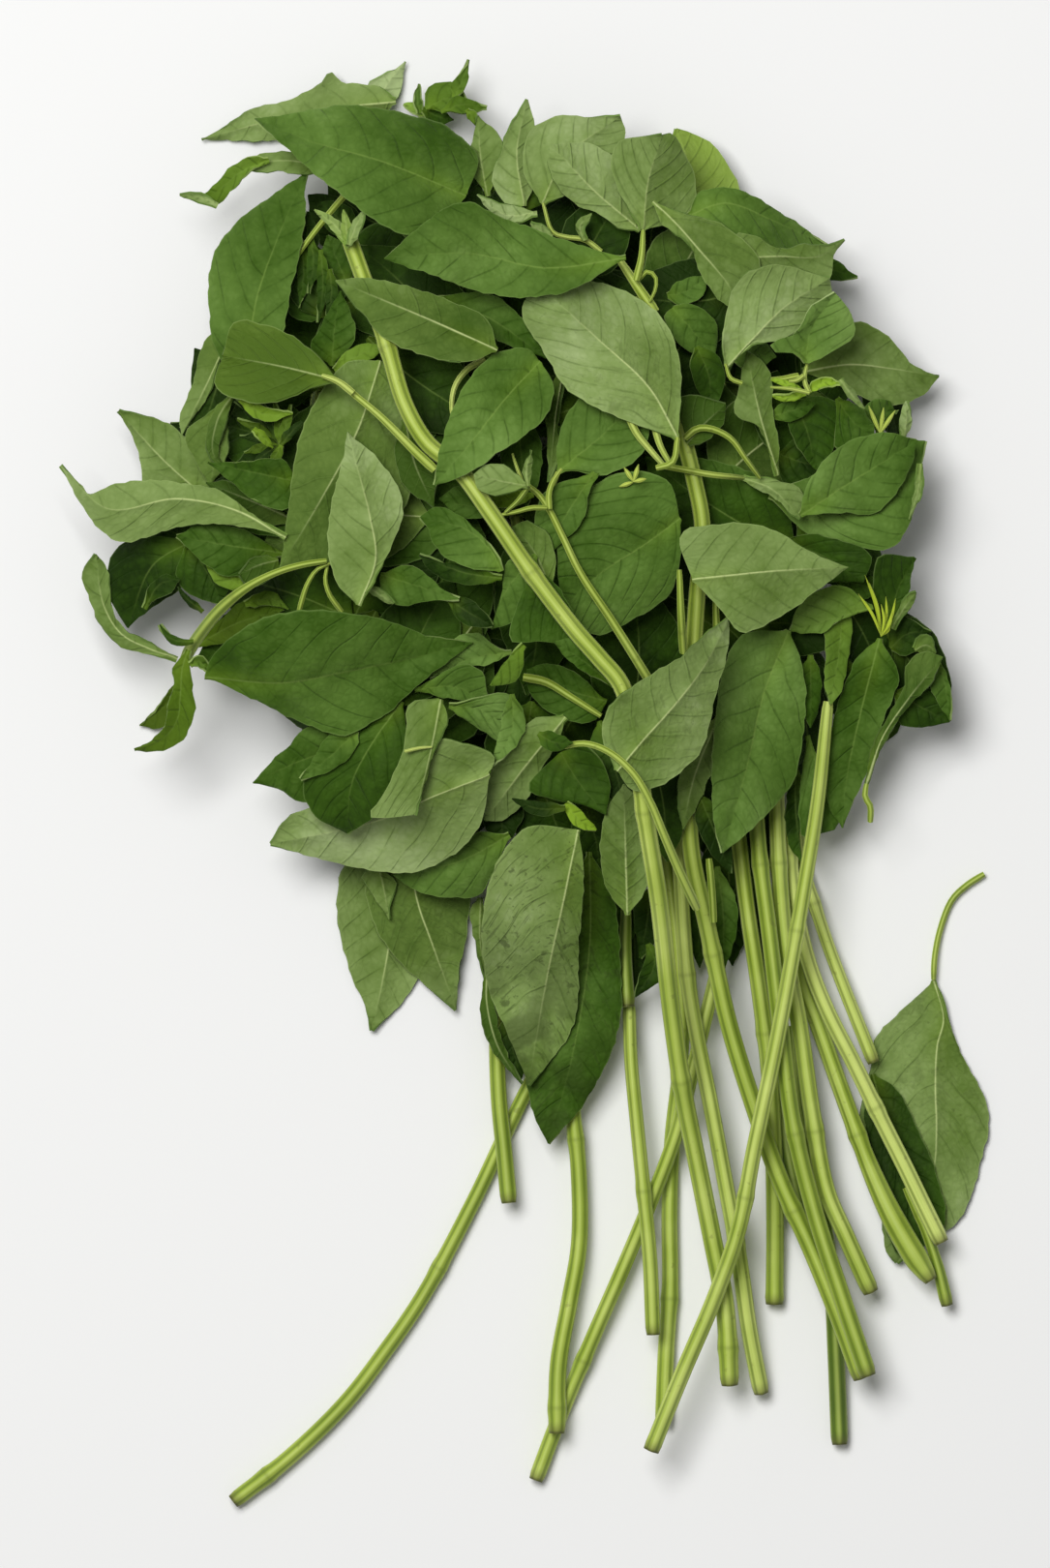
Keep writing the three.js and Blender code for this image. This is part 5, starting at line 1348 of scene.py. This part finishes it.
strip("cup_edge", UNDER, 0.75, 1.5, [81.2, 66, 80.6, 60, 78.8, 54.5])
lower("side_fold", 0.15, [70.1, 0, 73.4, 9.6, 79, 18, 85.8, 26.2],
      [70.8, 6, 74.4, 14, 77.8, 20, 78.4, 24.4, 81.6, 27.4], [73, 7.4, 78.4, 15.6, 83.2, 20.6],
      stalk=[70.9, -7.8, 70.9, -4.6, 69.8, -2.6])
lower("veined_right", 0.56, [34, 42, 42, 42.8, 52, 43.8, 66.1, 44.5],
      [31.6, 51, 38.4, 53.4, 49.4, 52.8, 57.4, 48.2], [40, 35.6, 44, 31.2, 52, 34.2, 60, 40])
tell("right side, top")

# %% [markdown]
# On the left a wilted shoot hangs over the rim on a bowed stalk. Its tip is folded and crumpled, so it is
# laid as one narrow leaf with thin strips beside it.

# %% Top leaves of the left side
stalk(0.62, 0.45, -41, 45.8, -46, 45, -51.4, 43.4, -57, 40.6, -62.4, 36.4, -67, 31, -70.4, 25.6, -71, 23.4,
      shape=lambda t: np.interp(t, [0, 0.35, 0.6, 0.9, 1], [0.9, 1.1, 1.8, 2.0, 1.2]))
upper("droop_behind", 0.15, [-71, 22.4, -74, 17, -80, 12.1], [-73.6, 20, -76.6, 15],
      [-70.4, 17, -73.4, 12.4, -76.4, 11.4], warm=0.18)
upper("drooping_shoot", 0.25, [-69.6, 27.6, -70.8, 24, -71.2, 19, -72, 13, -75.4, 9, -80.8, 7],
      [-72.8, 24, -72.6, 20, -74, 15.6, -74.6, 12, -77, 9.2],
      [-69.2, 24, -68.7, 20, -68.2, 15.4, -69.4, 11, -72.4, 7.6, -77, 6.6], warm=0.18)
strip("droop_hook", UPPER, 0.1, 1.5, [-66.6, 35.4, -68, 36.6, -70, 38.2, -71.6, 40.6])
strip("droop_curl", UPPER, 0.2, 1.8, [-68.5, 29.3, -71.5, 29.3, -74, 30.5, -75.4, 32.8])
strip("droop_side", UPPER, 0.6, 2.2, [-69.2, 24.4, -67.4, 25.2, -65, 23], warm=0.1)
lower("pale_lower_left", 0.67, [-7.6, 2, -19, -2.4, -31, -7.6, -52.8, -12.4],
      [-6.6, 5.6, -12, 8.2, -19.4, 9, -31, 2.4, -41, -3.6, -49.4, -7],
      [-9.6, -8.6, -16, -15.4, -26, -18.4, -38, -16.6, -46, -14.6])
upper("torn_dark", 0.34, [-25.6, 17, -32, 8, -36, 0, -37, -10.2], [-33, 13.5, -43, 6, -46.2, -1, -43.5, -6.6],
      [-24.6, 10, -27.4, -0.6, -31.6, -7])
upper("over_torn", 0.6, [-35, 11, -40, 6, -46.5, 1], [-40, 10.5, -44, 5], [-34.5, 8, -38, 4, -42, 2])
lower("pale_strip", 0.5, [-17.6, 17.4, -19.6, 7, -23, -6.4], [-24, 16.6, -25.2, 8, -29.5, -2.5, -32.4, -6.6],
      [-16.2, 14, -18.8, 7, -21.6, -2])
stalk(0.35, 0.95, -25, 6.7, -22, 7.4, -19.4, 7.6)
upper("left_big", 0.51, [-66.2, 22, -50, 20.8, -37.5, 23, -25, 25.6, -11, 29],
      [-65, 25.6, -61.5, 29.6, -57, 32.8, -50, 35.2, -41, 35.6, -30, 34, -20, 30.6],
      [-63.6, 21, -59, 18.8, -48, 13.4, -38, 10, -30, 13.6, -21, 21.4])
lower("bruised", 0.45, [10.6, -9.4, 7.4, -25, 4.6, -38, 0.4, -62.2],
      [0, -9, -6.6, -17.4, -9.4, -30, -7.6, -43, -3, -53.6], [11.8, -17, 10.8, -33, 10, -49, 5.6, -56.6],
      wear=0.7)
stalk(0.6, 0.9, -8.5, 87.3, -12, 85.4, -14.6, 82, -15.4, 78, -15, 74.5)
upper("bright_centre", 0.69, [2.8, 86.8, -4, 79.4, -11.4, 70, -18.8, 61.2],
      [0.4, 89.4, -5.4, 89, -10.6, 85, -14.8, 77.4, -17.6, 69],
      [5.5, 82, 4.6, 76.6, -0.6, 71.2, -6, 67.8, -12.8, 63])
lower("upright_pale", 0.68, [-34.4, 36.6, -31, 46, -32.2, 55, -36.7, 72.2], [-39.4, 42, -40.7, 53, -38.4, 64],
      [-29.2, 45.6, -25.3, 57.6, -29.4, 65.4])
lower("long_left", 0.6, [-49.4, 50.6, -60, 56.3, -72, 58.6, -86, 56.6, -96, 65.6],
      [-55, 54.6, -63, 60, -72, 62.2, -84, 62, -91, 59.8],
      [-56, 52.4, -68, 53.4, -78, 50.8, -84, 49.8, -91, 56.2])
lower("side_fan", 0, [-38.8, 82.8, -50, 85.6, -62.4, 88], [-43.6, 88.6, -48, 92, -54, 94.4, -60, 95],
      [-43.4, 81.6, -50, 78.5, -57, 78.4, -64, 81.6], warm=0.1)
stalk(0.7, 0.8, -35.6, 80.2, -38.6, 82.5, -42, 83.8)
tell("left side, top")

# %% Top leaves of the head
lower("centre_left", 0.35, [-6, 89, -18, 94.4, -39.2, 103.4], [-8, 95.4, -16.4, 99.6, -28, 103, -35, 104],
      [-12, 86.6, -21, 88, -29, 91.4, -35, 98])
stalk(0.75, 0.85, 20.4, 77, 22.6, 72, 25, 69, 28.5, 65)
stalk(0.75, 0.75, 25.6, 78, 27.2, 70, 29.5, 65.6)
lower("centre_bruised", 0.71, [31, 71, 25, 81.4, 15, 91, 2, 103],
      [23.6, 73.4, 15, 76.8, 8, 81.4, 3.6, 88.6, -1, 97], [31.6, 78, 31.6, 86, 28, 95.6, 16, 103],
      stalk=[26.6, 64.8, 30, 66], wear=0.25)
upper("crown", 0.57, [-12.4, 121, -30, 128, -44, 132, -56, 137],
      [-10, 129, -16, 135, -26, 138.4, -38, 139.6, -49, 138],
      [-17.6, 114.4, -25, 112.8, -38, 120.8, -48, 129.4])
upper("hip", 0.55, [20.4, 108, 4, 106, -12, 109, -29.2, 107.8], [10, 111, -4, 116, -12.4, 119.8, -20, 116],
      [9, 101.4, -1, 99.8, -10, 101.2, -20, 104.6], wear=0.12)
tell("the whole bunch")

# %% [markdown]
# ## Growing every piece
#
# Each leaf and stem of the frame becomes one piece that stands for its node. The small leaves, the stalks,
# the buds and the buried leaves are kept in a few pieces, by where they lie.

# %% Meshes from the sheets and lines, grown by the node trees
def add_attribute(mesh, name, values):
    mesh.attributes.new(name, "FLOAT_VECTOR", "POINT").data.foreach_set("vector", values.ravel())


def sheet_mesh(name, leaves):
    """One mesh of all the sheets, with what each point knows about its leaf."""
    faces, first = [], 0
    for sheet in leaves:
        rows, columns = sheet["points"].shape[:2]
        at = first + np.arange(rows * columns).reshape(rows, columns)
        faces.append(np.stack([at[:-1, :-1], at[1:, :-1], at[1:, 1:], at[:-1, 1:]], -1).reshape(-1, 4))
        first += rows * columns
    mesh = bpy.data.meshes.new(name)
    points = np.concatenate([sheet["points"].reshape(-1, 3) for sheet in leaves])
    mesh.from_pydata(points.tolist(), [], np.concatenate(faces).tolist())
    for key in ("blade", "leaf", "look", "out"):
        add_attribute(mesh, key, np.concatenate([sheet[key].reshape(-1, 3) for sheet in leaves]))
    return mesh


def line_mesh(name, lines):
    """One mesh of all the lines, as edges only."""
    edges, first = [], 0
    for line in lines:
        at = first + np.arange(len(line["points"]))
        edges.append(np.stack([at[:-1], at[1:]], 1))
        first += len(at)
    mesh = bpy.data.meshes.new(name)
    points = np.concatenate([line["points"] for line in lines])
    mesh.from_pydata(points.tolist(), np.concatenate(edges).tolist(), [])
    add_attribute(mesh, "run", np.concatenate([line["run"] for line in lines]))
    thick = mesh.attributes.new("thick", "FLOAT", "POINT")
    thick.data.foreach_set("value", np.concatenate([line["thick"] for line in lines]))
    return mesh


def slot_for(batch, parts):
    """A finish name for a piece: its stems, its young leaf, or the face that its first leaf shows."""
    if "look" not in parts[0]:
        return "stem"
    if batch == "leaf_drooping_shoot":
        return "young_leaf"
    return "leaf_underside" if parts[0]["leaf"][0, 0, 1] < 0 else "leaf_face"


triangles = 0
for batches, build, tree in ((sheets, sheet_mesh, leaf_tree), (tubes, line_mesh, ribbed_tree)):
    for batch, parts in batches.items():
        plain = {} if tree is leaf_tree or batch.startswith("stem_") else {"Node_Swelling": 0.0}
        piece = grown(batch + "_grown", build(batch, parts), tree, **plain)
        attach(piece, "root")
        slot_for(batch, parts)
        node = batch.removesuffix("_leaves").removesuffix("_stem")
        if node in nodes:
            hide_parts(node)
        triangles += sum(len(face.vertices) - 2 for face in piece.data.polygons)
print("pieces:", len(sheets) + len(tubes), "with", triangles, "triangles")

# %% [markdown]
# ## Floor, light and camera
#
# The bunch lies on a plain pale table under one broad soft light, a little from the upper left, with light
# from all round to open the shadows. The camera looks straight down. A long lens from far away keeps the
# plan true, so leaves at the top of the pile aren't shifted against those on the table.

# %% The table
TABLE_HALF = 1.6
TABLE_TOP = -0.2 * MM
TABLE_PAINT = (0.86, 0.86, 0.85, 1)
table_mesh = bpy.data.meshes.new("table")
corners = [(x * TABLE_HALF, y * TABLE_HALF, TABLE_TOP) for x, y in ((-1, -1), (1, -1), (1, 1), (-1, 1))]
table_mesh.from_pydata(corners, [], [(0, 1, 2, 3)])
table = bpy.data.objects.new("table", table_mesh)
bpy.context.scene.collection.objects.link(table)
table_paint = Finish("pale_table", Roughness=0.8, Specular_IOR_Level=0.2)
table_paint.shader.inputs["Base Color"].default_value = TABLE_PAINT
table_mesh.materials.append(table_paint.material)
print("table:", 2 * TABLE_HALF, "m wide")

# %% The light
LIGHT_PLACE = (-0.45, 0.55, 1.7)
LIGHT_WIDTH, LIGHT_WATTS = 0.9, 31.0
ROOM_LIGHT = 0.25
softbox = bpy.data.lights.new("softbox", "AREA")
softbox.shape, softbox.size, softbox.energy = "SQUARE", LIGHT_WIDTH, LIGHT_WATTS
lamp = bpy.data.objects.new("softbox", softbox)
lamp.location = LIGHT_PLACE
lamp.rotation_euler = (-Vector(LIGHT_PLACE)).to_track_quat("-Z", "Y").to_euler()
bpy.context.scene.collection.objects.link(lamp)
room = bpy.data.worlds.new("room")
room.use_nodes = True
background = room.node_tree.nodes["Background"].inputs
background["Color"].default_value = (1.0, 1.0, 1.0, 1)
background["Strength"].default_value = ROOM_LIGHT
bpy.context.scene.world = room
bpy.context.scene.view_settings.view_transform = "Standard"
print("light:", LIGHT_WATTS, "W from", LIGHT_PLACE)

# %% The camera
VIEW_HEIGHT = 323.2 * MM      # how much of the table the view takes in, from top to bottom
ASIDE = -0.3 * MM
SENSOR = 36.0
DISTANCE = 5.0
MIDDLE_OF_PILE = 0.018
lens = bpy.data.cameras.new("overhead")
lens.sensor_fit, lens.sensor_height = "VERTICAL", SENSOR
lens.lens = SENSOR * (DISTANCE - MIDDLE_OF_PILE) / VIEW_HEIGHT
camera = bpy.data.objects.new("overhead", lens)
camera.location = (ASIDE, 0, DISTANCE)
bpy.context.scene.collection.objects.link(camera)
bpy.context.scene.camera = camera
print("lens:", round(lens.lens), "mm")
